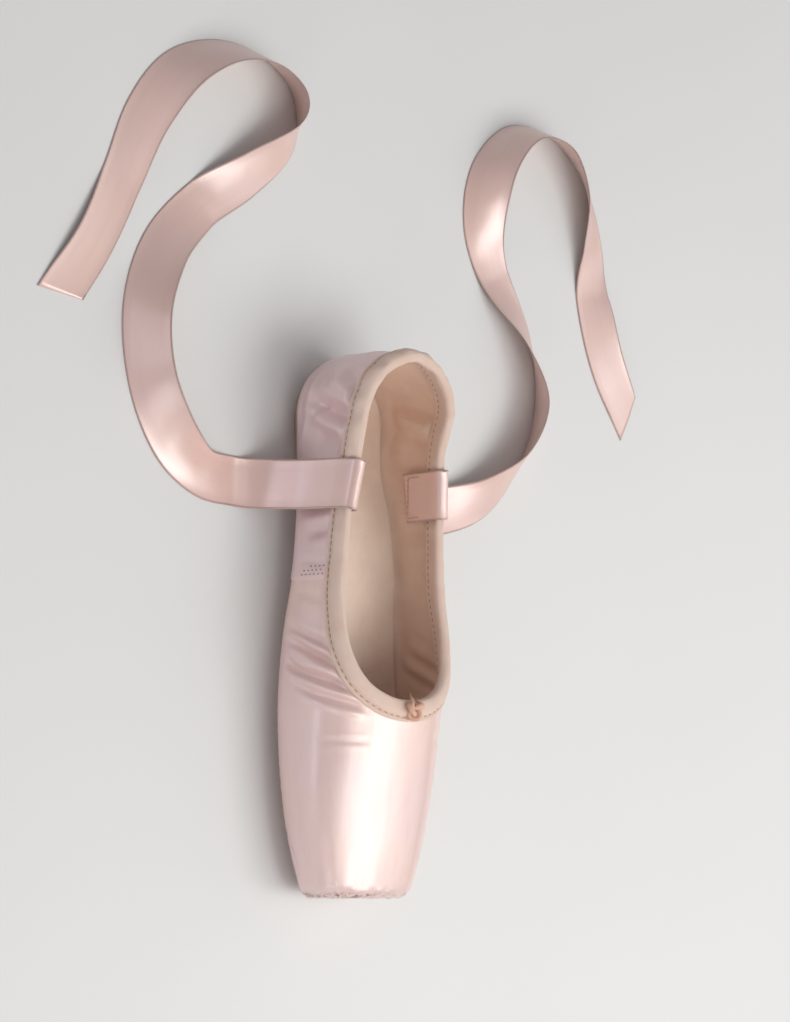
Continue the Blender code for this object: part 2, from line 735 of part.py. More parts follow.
def ribbon_rows(side, floor_rows):
    """Rows of place and width direction: from the sewn tab over the binding, then down to the floor."""
    half = RIBBON_WIDTH / 2
    stations = (RIBBON_STATION + half, RIBBON_STATION, RIBBON_STATION - half)
    drops = (RIBBON_TAB, BINDING_DEPTH, 0.0)
    points, normals = skin_spots(side, stations, drops)
    bow = np.linalg.norm(points[1, 2] - (points[0, 2] + points[2, 2]) / 2)
    wall = float(wall_at(RIBBON_STATION, 1.0, 0.0))
    clear = BED_GAP + BINDING_WALL + GAP + RIBBON_THICKNESS / 2 + bow
    along = points[2, 2] - points[0, 2]
    along *= side / np.linalg.norm(along)
    spot, out = points[1], normals[1]
    up = np.cross(out[2], along)
    up *= math.copysign(1, up[2]) / np.linalg.norm(up)
    fold = up * (GAP + BINDING_WALL)
    inside = [spot[0] - out[0] * (wall + clear), spot[1] - out[1] * (wall + clear)]
    inside.append(spot[2] - out[2] * (wall + clear) + fold)
    crest = spot[2] - out[2] * wall / 2 + up * (clear + 2 * RIBBON_THICKNESS)
    outside = [spot[2] + out[2] * clear + fold, spot[1] + out[1] * (clear + 2 * RIBBON_THICKNESS)]
    start = outside[-1]
    land = np.array([floor_rows[0][0], floor_rows[0][1], 0.0])
    hang = np.array([start[0], start[1] + side * HANG_SWING * start[2], HANG_HEIGHT * start[2]])
    bend_y = start[1] + BEND_REACH * (land[1] - start[1])
    bend = np.array([(start[0] + land[0]) / 2, bend_y, BEND_HEIGHT * start[2]])
    rows = [np.concatenate([place, along]) for place in (*inside, crest, *outside, hang, bend)]
    plan = np.array([row[:2] for row in floor_rows])
    ahead = np.gradient(np.concatenate([[bend[:2]], plan]), axis=0)[1:]
    for (x, y, turn), run in zip(floor_rows, ahead):
        run = np.array([run[0], run[1], 0.0]) / np.linalg.norm(run)
        level = np.cross(run, np.array([0.0, 0.0, 1.0]))
        angle = math.radians(turn)
        lift = RIBBON_THICKNESS + half * abs(math.sin(angle))
        across = level * math.cos(angle) + np.array([0.0, 0.0, math.sin(angle)])
        rows.append(np.concatenate([(x, y, lift), across]))
    return rows


def make_ribbon(name, side, floor_rows, finish, parent):
    """A flat strip of satin along its route."""
    line = route(ribbon_rows(side, floor_rows), RIBBON_UPRIGHT_ROWS, RIBBON_STEP)
    spots, across = line[:, :3], line[:, 3:]
    ahead = np.gradient(spots, axis=0)
    ahead /= np.linalg.norm(ahead, axis=1)[:, None]
    across -= ahead * np.sum(across * ahead, axis=1)[:, None]
    across /= np.linalg.norm(across, axis=1)[:, None]
    deep = np.cross(across, ahead)
    reach_down = np.abs(across[:, 2]) * RIBBON_WIDTH / 2 + np.abs(deep[:, 2]) * RIBBON_THICKNESS / 2
    spots[:, 2] = np.maximum(spots[:, 2], reach_down + GAP)
    rings = []
    for spot, wide, thick in zip(spots, across, deep):
        w, d = wide * RIBBON_WIDTH / 2, thick * RIBBON_THICKNESS / 2
        rings.append((spot + w + d, spot - w + d, spot - w - d, spot + w - d))
    return add_object(name, ring_loft(rings, False), finish, parent, 30)


def main():
    for old in list(bpy.data.objects):
        bpy.data.objects.remove(old, do_unlink=True)
    shoe = bpy.data.objects.new("pointe_shoe", None)
    bpy.context.collection.objects.link(shoe)
    place = even_places(RAYS_PER_SIDE)
    make_upper(place, shoe)
    make_outsole(shoe)
    make_insole(place, shoe)
    make_binding(place, shoe)
    make_knot(shoe)
    satin = material("satin_ribbon", (0.80, 0.58, 0.52), 0.35)
    make_ribbon("ribbon_medial", -1, MEDIAL_RIBBON, satin, shoe)
    make_ribbon("ribbon_lateral", 1, LATERAL_RIBBON, satin, shoe)


main()
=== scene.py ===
"""Looks of a worn pointe shoe: satin upper, bound topline, knot, two ribbons, insole and leather sole.

Metres, in the part's own frame: X runs to the toe, Y across the shoe and Z up from the floor. A station
is a distance behind the toe tip. A turn is an angle round the shoe's spine in degrees: 0 on top, minus 90
at the inner side, plus 90 at the outer side. A ray is an upright half-plane that starts on the spine.
"""
import math

import bmesh
import bpy
import numpy as np
from mathutils import Matrix, Vector

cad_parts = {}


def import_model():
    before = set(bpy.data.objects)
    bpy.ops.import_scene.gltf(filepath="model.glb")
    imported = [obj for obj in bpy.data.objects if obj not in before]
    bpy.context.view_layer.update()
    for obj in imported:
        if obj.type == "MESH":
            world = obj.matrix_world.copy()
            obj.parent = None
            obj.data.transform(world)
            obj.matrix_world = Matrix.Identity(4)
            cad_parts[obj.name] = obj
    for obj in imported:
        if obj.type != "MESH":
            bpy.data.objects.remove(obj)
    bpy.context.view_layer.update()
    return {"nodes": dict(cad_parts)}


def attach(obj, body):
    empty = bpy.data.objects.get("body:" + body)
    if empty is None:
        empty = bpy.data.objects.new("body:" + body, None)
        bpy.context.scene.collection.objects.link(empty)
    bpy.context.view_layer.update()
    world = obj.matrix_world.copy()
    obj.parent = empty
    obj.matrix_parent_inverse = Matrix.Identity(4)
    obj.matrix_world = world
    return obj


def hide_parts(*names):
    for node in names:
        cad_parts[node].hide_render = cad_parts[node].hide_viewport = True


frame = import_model()

# Sizes of the last, the same as the part's
LENGTH = 0.240
BALL_WIDTH = 0.080
WAIST_WIDTH = 0.063
HEEL_WIDTH = 0.058
PLATFORM_WIDTH = 0.052
PLATFORM_HEIGHT = 0.031
PLATFORM_RIM = 0.005
VAMP_LENGTH = 0.084
INSTEP_HEIGHT = 0.052
SIDE_HEIGHT = 0.041
HEEL_HEIGHT = 0.056
HEEL_ROUND = 0.029
TOE_SPRING = 0.0015
ARCH_RISE = 0.0045

# Sizes of the pieces, the same as the part's
BOX_WALL = 0.0030
QUARTER_WALL = 0.0015
MARGIN_WALL = 0.0020
SEAM_STATION = 0.138
SEAM_STEP = 0.0006
SEAM_FADE = 0.022
OUTSOLE_THICKNESS = 0.0026
OUTSOLE_START = 0.019
OUTSOLE_HEEL_INSET = 0.008
OUTSOLE_BALL_WIDTH = 0.052
OUTSOLE_WAIST_WIDTH = 0.031
OUTSOLE_HEEL_WIDTH = 0.041
OUTSOLE_TOE_ROUND = 0.024
OUTSOLE_HEEL_ROUND = 0.020
SOLE_SEAT = 0.008
BINDING_DEPTH = 0.0080
BINDING_WALL = 0.0009
KNOT_WIDTH = 0.0075
GAP = 0.0003
BED_GAP = 0.0005
RIBBON_WIDTH = 0.022
RIBBON_THICKNESS = 0.0005
RIBBON_TAB = 0.020
RIBBON_STATION = 0.178

HEEL_CENTRE = LENGTH - HEEL_ROUND
FAN_CENTRE = VAMP_LENGTH + 0.35 * BALL_WIDTH
SPINE_HEIGHT = 0.38 * INSTEP_HEIGHT
SEAT_HEIGHT = OUTSOLE_THICKNESS + BED_GAP

# Camera: the photograph's angle to the shoe, its focal length and where the aim point lands in the picture
PICTURE_SIZE = (790, 1022)
FOCAL_PIXELS = 3411
CAMERA_AZIMUTH = 2.62
CAMERA_ELEVATION = 44.0
CAMERA_ROLL = 88.47
CAMERA_DISTANCE = 1.5
AIM = (LENGTH / 4, 0.0, 0.022)
AIM_PIXEL = (359.6, 760.3)
SENSOR = 36.0

# Rows of (light, place, target, size, power in watts, colour)
LIGHTS = (
    ("softbox", (0.50, 0.50, 1.25), (0.02, 0.22, 0.00), (1.36, 0.80), 13.0, (1.00, 0.99, 0.98)),
    ("wing", (0.50, -0.36, 1.15), (0.02, 0.00, 0.00), (0.42, 0.80), 2.2, (1.00, 0.97, 0.94)),
    ("front", (1.05, -0.85, 0.50), (0.02, 0.00, 0.02), (0.70, 0.70), 2.0, (1.00, 0.98, 0.97)),
    ("fill", (-0.25, -1.80, 0.18), (0.00, 0.00, 0.00), (1.50, 0.32), 3.0, (0.84, 0.82, 1.00)),
    ("side", (0.00, 1.60, 0.95), (0.00, 0.00, 0.00), (1.60, 0.90), 4.0, (1.00, 0.95, 0.92)),
)
FLOOR_HALF = 4.0
ROOM_COLOUR = (0.95, 0.95, 0.97)
ROOM_STRENGTH = 0.34

# Colours of threads and cords, and of the shadow between their plies
THREADS = {
    "stitch_thread": ((0.68, 0.42, 0.33), (0.46, 0.24, 0.18)),
    "seam_thread": ((0.62, 0.36, 0.33), (0.40, 0.20, 0.18)),
    "ribbon_thread": ((0.80, 0.52, 0.44), (0.56, 0.30, 0.24)),
    "frayed_satin": ((0.93, 0.76, 0.70), (0.80, 0.58, 0.52)),
    "drawstring": ((0.92, 0.64, 0.50), (0.64, 0.28, 0.15)),
}

# Rows of (station, full width of the last)
WIDTHS = (
    (0.000 * LENGTH, 1.000 * PLATFORM_WIDTH),
    (0.060 * LENGTH, 1.200 * PLATFORM_WIDTH),
    (0.140 * LENGTH, 0.900 * BALL_WIDTH),
    (0.240 * LENGTH, 0.975 * BALL_WIDTH),
    (0.340 * LENGTH, 1.000 * BALL_WIDTH),
    (0.460 * LENGTH, 0.945 * BALL_WIDTH),
    (0.600 * LENGTH, 1.060 * WAIST_WIDTH),
    (0.700 * LENGTH, 1.000 * WAIST_WIDTH),
    (0.800 * LENGTH, 0.990 * HEEL_WIDTH),
    (HEEL_CENTRE, 1.000 * HEEL_WIDTH),
)

# Rows of (station, rise of the roof, from 0 at the platform's top to 1 at the throat)
ROOF = (
    (0.00 * VAMP_LENGTH, 0.00),
    (0.17 * VAMP_LENGTH, 0.20),
    (0.40 * VAMP_LENGTH, 0.42),
    (0.70 * VAMP_LENGTH, 0.70),
    (1.00 * VAMP_LENGTH, 1.00),
    (1.30 * VAMP_LENGTH, 1.45),
    (1.75 * VAMP_LENGTH, 2.30),
    (2.20 * VAMP_LENGTH, 2.80),
    (LENGTH, 3.10),
)

# Rows of (station, share of the toe spring, share of the arch rise)
FLOOR_LINE = (
    (0.00 * LENGTH, 1.00, 0.00),
    (0.08 * LENGTH, 0.35, 0.00),
    (0.15 * LENGTH, 0.00, 0.00),
    (0.42 * LENGTH, 0.00, 0.00),
    (0.50 * LENGTH, 0.00, 0.30),
    (0.61 * LENGTH, 0.00, 1.00),
    (0.69 * LENGTH, 0.00, 0.85),
    (0.79 * LENGTH, 0.00, 0.10),
    (0.83 * LENGTH, 0.00, 0.00),
    (1.00 * LENGTH, 0.00, 0.00),
)

# Rows of (station, height of the widest line, roundness of the lower wall, roundness of the upper wall)
WALLS = (
    (0.00 * LENGTH, 0.37 * INSTEP_HEIGHT, 2.7, 2.7),
    (0.10 * LENGTH, 0.37 * INSTEP_HEIGHT, 3.0, 2.5),
    (0.34 * LENGTH, 0.38 * INSTEP_HEIGHT, 3.8, 2.3),
    (0.60 * LENGTH, 0.35 * INSTEP_HEIGHT, 3.6, 2.3),
    (0.88 * LENGTH, 0.40 * INSTEP_HEIGHT, 3.8, 2.4),
)

# Rows of (height, reach of the heel behind its centre as a share of its rounding)
HEEL_BACK = (
    (0.00 * HEEL_HEIGHT, 0.95),
    (0.18 * HEEL_HEIGHT, 0.98),
    (0.38 * HEEL_HEIGHT, 1.00),
    (0.62 * HEEL_HEIGHT, 0.99),
    (0.82 * HEEL_HEIGHT, 0.96),
    (1.00 * HEEL_HEIGHT, 0.92),
    (1.60 * HEEL_HEIGHT, 0.78),
)

# Rows of (share of the way from throat to heel, fall from the instep height, rise to the heel height)
TOPLINE = (
    (0.00, 1.00, 0.00),
    (0.08, 0.60, 0.00),
    (0.20, 0.20, 0.00),
    (0.35, 0.00, 0.00),
    (0.50, 0.00, 0.07),
    (0.70, 0.00, 0.34),
    (0.88, 0.00, 0.80),
    (1.00, 0.00, 1.00),
)
THROAT_CUT_SLOPE = 0.5

# Rows of (share of the outsole's length, full width)
OUTSOLE_WIDTHS = (
    (0.00, 0.86 * OUTSOLE_BALL_WIDTH),
    (0.15, 0.97 * OUTSOLE_BALL_WIDTH),
    (0.30, 1.00 * OUTSOLE_BALL_WIDTH),
    (0.42, 0.90 * OUTSOLE_BALL_WIDTH),
    (0.60, 1.02 * OUTSOLE_WAIST_WIDTH),
    (0.68, 1.00 * OUTSOLE_WAIST_WIDTH),
    (0.84, 0.97 * OUTSOLE_HEEL_WIDTH),
    (0.92, 1.00 * OUTSOLE_HEEL_WIDTH),
    (1.00, 1.00 * OUTSOLE_HEEL_WIDTH),
)

# The ribbons' way over the floor, rows of (X, Y, turn of the ribbon about its run in degrees)
MEDIAL_RIBBON = (
    (-0.060, -0.058, 0),
    (-0.062, -0.077, 8),
    (-0.074, -0.098, 38),
    (-0.098, -0.114, 60),
    (-0.128, -0.117, 56),
    (-0.156, -0.104, 30),
    (-0.178, -0.080, 4),
    (-0.196, -0.052, -22),
    (-0.215, -0.029, -48),
    (-0.235, -0.028, -62),
    (-0.247, -0.047, -64),
    (-0.247, -0.072, -56),
    (-0.235, -0.096, -38),
    (-0.212, -0.113, -16),
    (-0.183, -0.125, 0),
    (-0.155, -0.140, 6),
    (-0.130, -0.158, 0),
)
LATERAL_RIBBON = (
    (-0.056, 0.058, 0),
    (-0.058, 0.078, -8),
    (-0.066, 0.102, -30),
    (-0.085, 0.124, -56),
    (-0.112, 0.136, -60),
    (-0.142, 0.130, -36),
    (-0.168, 0.114, -8),
    (-0.194, 0.101, 22),
    (-0.222, 0.103, 54),
    (-0.242, 0.123, 66),
    (-0.241, 0.151, 62),
    (-0.222, 0.172, 42),
    (-0.195, 0.181, 16),
    (-0.166, 0.184, -8),
    (-0.138, 0.194, -10),
    (-0.114, 0.211, 0),
)
RIBBON_STEP = 0.002
RIBBON_UPRIGHT_ROWS = 7
FLOOR_CLEARANCE = 0.00008
HANG_HEIGHT = 0.62
HANG_SWING = 0.15
BEND_HEIGHT = 0.17
BEND_REACH = 0.55

# Creases, rows of (trough's depth, half width, points of (station, turn)); a ridge has a depth
# below 0. The first group is where the vamp breaks beside the throat, the second round the heel pocket.
BREAK_FOLDS = (
    (0.0025, 0.0020, ((0.0868, -36), (0.0920, -60), (0.0985, -88), (0.1080, -110))),
    (-0.0010, 0.0018, ((0.0925, -44), (0.0978, -66), (0.1035, -86))),
    (0.0023, 0.0018, ((0.0985, -52), (0.1030, -68), (0.1080, -84), (0.1130, -102))),
    (-0.0008, 0.0018, ((0.1040, -58), (0.1090, -76), (0.1140, -92))),
    (0.0015, 0.0020, ((0.0815, -38), (0.0845, -58), (0.0886, -76), (0.0947, -94))),
    (0.0013, 0.0021, ((0.1080, -62), (0.1140, -86), (0.1215, -104))),
    (0.0008, 0.0020, ((0.1260, -56), (0.1300, -80), (0.1340, -102))),
    (0.0003, 0.0014, ((0.0670, -34), (0.0672, -62), (0.0660, -94))),
    (0.0006, 0.0014, ((0.0300, -107), (0.0254, -105), (0.0180, -102), (0.0100, -98))),
    (0.0012, 0.0026, ((0.0890, 44), (0.0950, 66), (0.1020, 90), (0.1100, 106))),
    (0.0008, 0.0028, ((0.1020, 60), (0.1080, 80), (0.1150, 98))),
    (0.0004, 0.0022, ((0.0700, 40), (0.0705, 66), (0.0720, 92))),
)
HEEL_FOLDS = (
    (0.0036, 0.0034, ((0.2040, -42), (0.2090, -60), (0.2150, -82), (0.2210, -98))),
    (-0.0024, 0.0042, ((0.2130, -40), (0.2200, -56), (0.2290, -74))),
    (0.0012, 0.0024, ((0.2000, -112), (0.2120, -105), (0.2260, -106), (0.2350, -112))),
    (0.0010, 0.0016, ((0.1810, -46), (0.1790, -60), (0.1760, -74))),
    (0.0009, 0.0014, ((0.1875, -46), (0.1860, -58), (0.1830, -70))),
    (0.0008, 0.0018, ((0.2160, -72), (0.2110, -84), (0.2080, -98))),
    (0.0007, 0.0016, ((0.1430, -66), (0.1450, -82), (0.1460, -98))),
    (0.0014, 0.0042, ((0.1700, -50), (0.1710, -76), (0.1720, -106))),
    (0.0013, 0.0030, ((0.1590, -52), (0.1590, -72), (0.1580, -94))),
    (-0.0010, 0.0032, ((0.1490, -50), (0.1490, -68))),
    (0.0012, 0.0046, ((0.1940, -58), (0.1970, -86))),
    (0.0028, 0.0036, ((0.2030, 44), (0.2090, 64), (0.2150, 88), (0.2210, 104))),
    (-0.0012, 0.0050, ((0.2140, 42), (0.2220, 60), (0.2300, 78))),
    (0.0010, 0.0046, ((0.1680, 52), (0.1700, 78), (0.1690, 104))),
    (0.0008, 0.0036, ((0.1550, 54), (0.1560, 78), (0.1570, 98))),
    (0.0010, 0.0024, ((0.1980, 112), (0.2120, 106), (0.2300, 110))),
)

# The binding holds the cloth below it, so the folds fade under it
TAPE_HOLD = 0.0070
TAPE_EASE = 0.0050

# A fold's section: the trough's sharpness, and the bank beside it in shares of the fold's width and depth
FOLD_SHARPNESS = 1.6
BANK_PLACE = 1.7
BANK_WIDTH = 0.8
BANK_HEIGHT = 0.5

# Unevenness, rows of (height, seed, size of a bump)
SATIN_SLACK = (0.00012, 3, 0.022)
QUARTER_SLACK = (0.00030, 5, 0.034)
DRAWN_EDGE = (0.00014, 9, 0.0075)
TIP_WEAR = (0.00016, 21, 0.0045)
SOLE_WEAR = (0.00006, 41, 0.011)

# Seams, pleats and other small forms of the satin's outside
SEAM_LAP = 0.0008
BACK_SEAM_HALF = 0.0006
BACK_SEAM_DEPTH = 0.0004
BACK_TAPE_HALF = 0.0045
BACK_TAPE_STEP = 0.0004
PLEATS = 30
PLEAT_DEPTH = 0.0008
PLEAT_CENTRE = 0.072
PLEAT_END = 0.095
PLEAT_LEAN = 0.82
PLEAT_MIDDLE = 0.35

# The binding's section, rows of (depth below the topline, height above its bed)
TAPE_LIP = (
    (0.00790, 0.00005), (0.00800, 0.00045), (0.00785, 0.00080), (0.00730, 0.00105), (0.00675, 0.00095),
)
TAPE_GROOVE = ((0.00635, 0.00055), (0.00610, 0.00032), (0.00585, 0.00050))
TAPE_CHANNEL = (
    (0.0054, 0.00110), (0.0047, 0.00158), (0.0039, 0.00182), (0.0030, 0.00188), (0.0020, 0.00170),
    (0.0010, 0.00142),
)
TAPE_INSIDE = (
    (0.0010, 0.00120), (0.0022, 0.00110), (0.0036, 0.00100), (0.0050, 0.00085), (0.0060, 0.00055),
    (0.0064, 0.00050), (0.0069, 0.00075), (0.0076, 0.00075), (0.0080, 0.00040), (0.0079, 0.00005),
)
TAPE_BED_END = 0.0078
TAPE_BED_SHARE = 0.6
CREST_ANGLES = (25, 55, 90, 125, 155)
CREST_OUT = 0.00105
CREST_HEIGHT = 0.00135
CREST_BED = 0.00035
PUCKER = 0.00005
HEEL_PUCKER = 0.00007
PUCKERED_ABOVE = 0.0006

# A ribbon presses the binding flatter, and the effect eases off beside it
PRESS_SHARE = 0.42
PRESS_DEPTH = 0.00035
PRESS_EASE = 0.004

# Stitches: along the binding, with rows of (side, depth, start), at the side seams and on the ribbons' tabs
DASHES = ((1, 0.0061, 0.3), (-1, 0.0062, 0.8))
DASH_PITCH = 0.0029
DASH_LENGTH = 0.0016
DASH_LIFT = 0.00042
DASH_RADIUS = 0.00021
SEAM_STITCH_ROWS = 3
SEAM_STITCHES = 6
SEAM_STITCH_START = 0.0014
SEAM_ROW_GAP = 0.0018
SEAM_STITCH_PITCH = 0.0024
SEAM_STITCH_LENGTH = 0.0006
SEAM_THREAD_RADIUS = 0.00028
TAB_EDGE = 0.0020
TAB_PITCH = 0.0024
TAB_STITCH_START = 0.0003
TAB_STITCH_LENGTH = 0.0016
TAB_THREAD_RADIUS = 0.00020
TAB_THREAD_ARCH = 0.7

# The knot's cord, its tails as rows of (side, length, bend), and its frayed ends
KNOT_DROP = 0.3 * BINDING_DEPTH
KNOT_LIFT = 0.0034
KNOT_REACH = 1.1 * KNOT_WIDTH / 2
KNOT_CORD_RADIUS = 0.00108
KNOT_TAILS = ((-1, 0.0062, 0.0010), (1, 0.0050, -0.0014))
KNOT_TAIL_RADIUS = 0.00078
KNOT_FRAYS = 16
TIP_FRAYS = 260

# The outsole's rounded edge and the channel scored along it
SOLE_EDGE_ROUND = 0.0011
SOLE_CHANNEL_DEPTH = 0.00045
SOLE_CHANNEL_INSET = 0.0042
SOLE_CHANNEL_HALF = 0.0005

# Half a ribbon's section, rows of (share of its half width, share of its thickness): thicker woven edges
RIBBON_SECTION = ((0.0, 0.6), (0.3, 0.6), (0.6, 0.6), (0.90, 0.62), (0.93, 1.0), (0.975, 0.95), (1.0, 0.3))
RIBBON_CUT_SLANT = 0.55
LANDED_BELOW = 0.0015
LANDING_LENGTH = 0.020
LANDING_BLUR = 21

# Mesh density
RAYS_PER_SIDE = 210
OUTER_ROWS = 128
INNER_STRIDE = 2
PROFILE_SAMPLES = 420
ROW_SAMPLES = 400
OUTLINE_SAMPLES = 600
ROW_BEND_WEIGHT = 0.004
OUTLINE_BEND_WEIGHT = 0.022
CREASED = ((0.074, 0.118), (0.192, 0.232))
CREASED_WEIGHT = 0.8
SEAM_OFFSETS = (-0.0014, -0.0005, -0.00015, 0.00015, 0.0005, 0.0014)
BAND_TOP = -0.002
BAND_DEPTH = 0.026
BAND_ROWS = 27
BAND_EDGE_ROW = 2
SOLE_TOP_COLUMNS = 25
SOLE_BELOW_COLUMNS = 61
CURVE_SAMPLES = 1501
TURN_BLUR = 15
SEAM_CLEAR = 0.0018


def curve(rows, column=1):
    """A smooth function through the rows' first column and another, which overshoots neither."""
    places = np.array([row[0] for row in rows], float)
    values = np.array([row[column] for row in rows], float)
    steps = np.diff(places)
    slopes = np.diff(values) / steps
    leans = np.concatenate([slopes[:1], np.zeros(len(rows) - 2), slopes[-1:]])
    for i in range(1, len(rows) - 1):
        if slopes[i - 1] * slopes[i] > 0:
            leans[i] = 2 * slopes[i - 1] * slopes[i] / (slopes[i - 1] + slopes[i])
    fine = np.linspace(places[0], places[-1], CURVE_SAMPLES)
    i = np.clip(np.searchsorted(places, fine, side="right") - 1, 0, len(rows) - 2)
    f = (fine - places[i]) / steps[i]
    start = (1 + 2 * f) * (1 - f) ** 2 * values[i] + f * (1 - f) ** 2 * steps[i] * leans[i]
    end = f * f * (3 - 2 * f) * values[i + 1] + f * f * (f - 1) * steps[i] * leans[i + 1]
    return lambda at: np.interp(at, fine, start + end)


def ease(share):
    """A soft step from 0 to 1."""
    share = np.clip(share, 0, 1)
    return share * share * (3 - 2 * share)


def unit(vectors):
    """The same directions with length 1."""
    return vectors / np.linalg.norm(vectors, axis=-1, keepdims=True)


def run_along(line):
    """Distance from a line's start to each of its points."""
    return np.concatenate([[0], np.cumsum(np.linalg.norm(np.diff(line, axis=0), axis=1))])


width_at = curve(WIDTHS)
roof_rise = curve(ROOF)
spring_share = curve(FLOOR_LINE, 1)
arch_share = curve(FLOOR_LINE, 2)
widest_at = curve(WALLS, 1)
lower_round = curve(WALLS, 2)
upper_round = curve(WALLS, 3)
heel_reach = curve(HEEL_BACK)
topline_fall = curve(TOPLINE, 1)
topline_rise = curve(TOPLINE, 2)
outsole_width = curve(OUTSOLE_WIDTHS)


def bottom_at(station):
    return SEAT_HEIGHT + TOE_SPRING * spring_share(station) + ARCH_RISE * arch_share(station)


def roof_at(station):
    platform_top = SEAT_HEIGHT + TOE_SPRING + PLATFORM_HEIGHT
    return platform_top + (INSTEP_HEIGHT - platform_top) * roof_rise(station)


def rim_inset(station):
    left = np.clip(PLATFORM_RIM - station, 0, PLATFORM_RIM)
    return PLATFORM_RIM - np.sqrt(PLATFORM_RIM ** 2 - left ** 2)


def spread(station, y, z):
    """0 on the last's middle plane and 1 on its widest outline, also round the heel."""
    half = width_at(station) / 2 - rim_inset(station)
    behind = np.clip(station - HEEL_CENTRE, 0, None) / (HEEL_ROUND * heel_reach(z))
    return np.hypot(y / half, behind)


def inside_last(station, y, z):
    inset = rim_inset(station)
    middle = widest_at(station)
    out = spread(station, y, z)
    up = np.clip((z - middle) / (roof_at(station) - inset - middle), 0, 2)
    down = np.clip((middle - z) / (middle - bottom_at(station) - inset), 0, 2)
    power = np.where(z > middle, upper_round(station), lower_round(station))
    return (station > 0) & (out ** power + np.maximum(up, down) ** power < 1)


def underside(station, y):
    """Height of the last's bottom surface at a place in plan."""
    middle = widest_at(station)
    depth = middle - bottom_at(station) - rim_inset(station)
    out = np.clip(spread(station, y, bottom_at(station)), 0, 0.98)
    power = lower_round(station)
    return middle - depth * (1 - out ** power) ** (1 / power)


def topline_height(station):
    share = (station - VAMP_LENGTH) / (LENGTH - VAMP_LENGTH)
    height = (
        SIDE_HEIGHT
        + (INSTEP_HEIGHT - SIDE_HEIGHT) * topline_fall(share)
        + (HEEL_HEIGHT - SIDE_HEIGHT) * topline_rise(share)
    )
    return height + THROAT_CUT_SLOPE * np.clip(VAMP_LENGTH - station, 0, None)


def outsole_half(station):
    """Half the outsole's width, 0 beyond its rounded ends."""
    length = LENGTH - OUTSOLE_START - OUTSOLE_HEEL_INSET
    along = station - OUTSOLE_START
    toe = np.clip(1 - along / OUTSOLE_TOE_ROUND, 0, 1)
    heel = np.clip(1 - (length - along) / OUTSOLE_HEEL_ROUND, 0, 1)
    ends = np.sqrt(np.clip(1 - toe ** 2.4, 0, 1)) * np.sqrt(np.clip(1 - heel ** 2, 0, 1))
    return outsole_width(along / length) / 2 * ends


def solve(test, high, steps=34):
    """The largest reach up to a limit for which the test holds, for each ray."""
    low = np.zeros(np.shape(high))
    high = np.array(high, float)
    for _ in range(steps):
        middle = (low + high) / 2
        held = test(middle)
        low = np.where(held, middle, low)
        high = np.where(held, high, middle)
    return (low + high) / 2


def ray_plan(place):
    """Spine station, outward direction (station, y) of rays along the spine's round trip, and its length.

    The trip starts at the heel, runs along the inner side to the toe and back along the outer side.
    """
    turn = math.pi / 2 * HEEL_ROUND
    side = HEEL_CENTRE - FAN_CENTRE
    toe = math.pi / 2 * BALL_WIDTH / 2
    half = turn + side + toe
    place = np.asarray(place, float)
    mirror = np.where(place > half, 1.0, -1.0)
    trip = half - np.abs(half - place)
    angle = np.where(
        trip < turn,
        math.pi / 2 - trip / turn * math.pi / 2,
        -np.clip((trip - turn - side) / toe, 0, 1) * math.pi / 2,
    )
    spine = np.clip(HEEL_CENTRE - (trip - turn), FAN_CENTRE, HEEL_CENTRE)
    return spine, np.sin(angle), mirror * np.cos(angle), 2 * half


WHOLE_TRIP = ray_plan(np.zeros(1))[3]


def ray_points(place, angles):
    """Outer skin points (station, y, z) where the rays leave the last at the given lifts."""
    spine, along, across, _ = ray_plan(place)
    spine, along, across = spine[:, None], along[:, None], across[:, None]
    out = np.cos(angles)
    lift = np.sin(angles)

    def held(reach):
        flat = reach * out
        return inside_last(spine + flat * along, flat * across, SPINE_HEIGHT + reach * lift)

    reach = solve(held, np.full(angles.shape, LENGTH))
    flat = reach * out
    return np.stack([spine + flat * along, flat * across, SPINE_HEIGHT + reach * lift], axis=2)


def lifts(place, samples):
    """Angles that sweep each ray from below the sole to the roof in nearly even steps."""
    ends = ray_points(place, np.zeros((len(place), 1)))[:, 0]
    reach = np.hypot(ends[:, 0] - ray_plan(place)[0], ends[:, 1])
    below = SPINE_HEIGHT - SEAT_HEIGHT
    above = INSTEP_HEIGHT - SPINE_HEIGHT
    run = np.linspace(0, 1, samples)[None, :] * (2 * reach + below + above)[:, None]
    flat = np.clip(run, 0.02 * reach[:, None], reach[:, None])
    rise = np.clip(run - reach[:, None], 0, below + above) - below
    back = np.clip(run - reach[:, None] - below - above, 0, None)
    return np.arctan2(rise, np.maximum(flat - back, 0.001))


def opening_reach(place):
    """How far along each ray the opening underneath runs."""
    spine, along, across, _ = ray_plan(place)

    def held(reach):
        station = spine + reach * along
        half = outsole_half(station) - SOLE_SEAT
        front = OUTSOLE_START + SOLE_SEAT
        back = LENGTH - OUTSOLE_HEEL_INSET - SOLE_SEAT
        return (np.abs(reach * across) < half) & (station > front) & (station < back)

    return solve(held, np.full(len(place), LENGTH))


def world(points):
    """Turn (station, y, z) into X, Y, Z."""
    points = np.asarray(points, float)
    return np.stack([LENGTH / 2 - points[..., 0], points[..., 1], points[..., 2]], axis=-1)


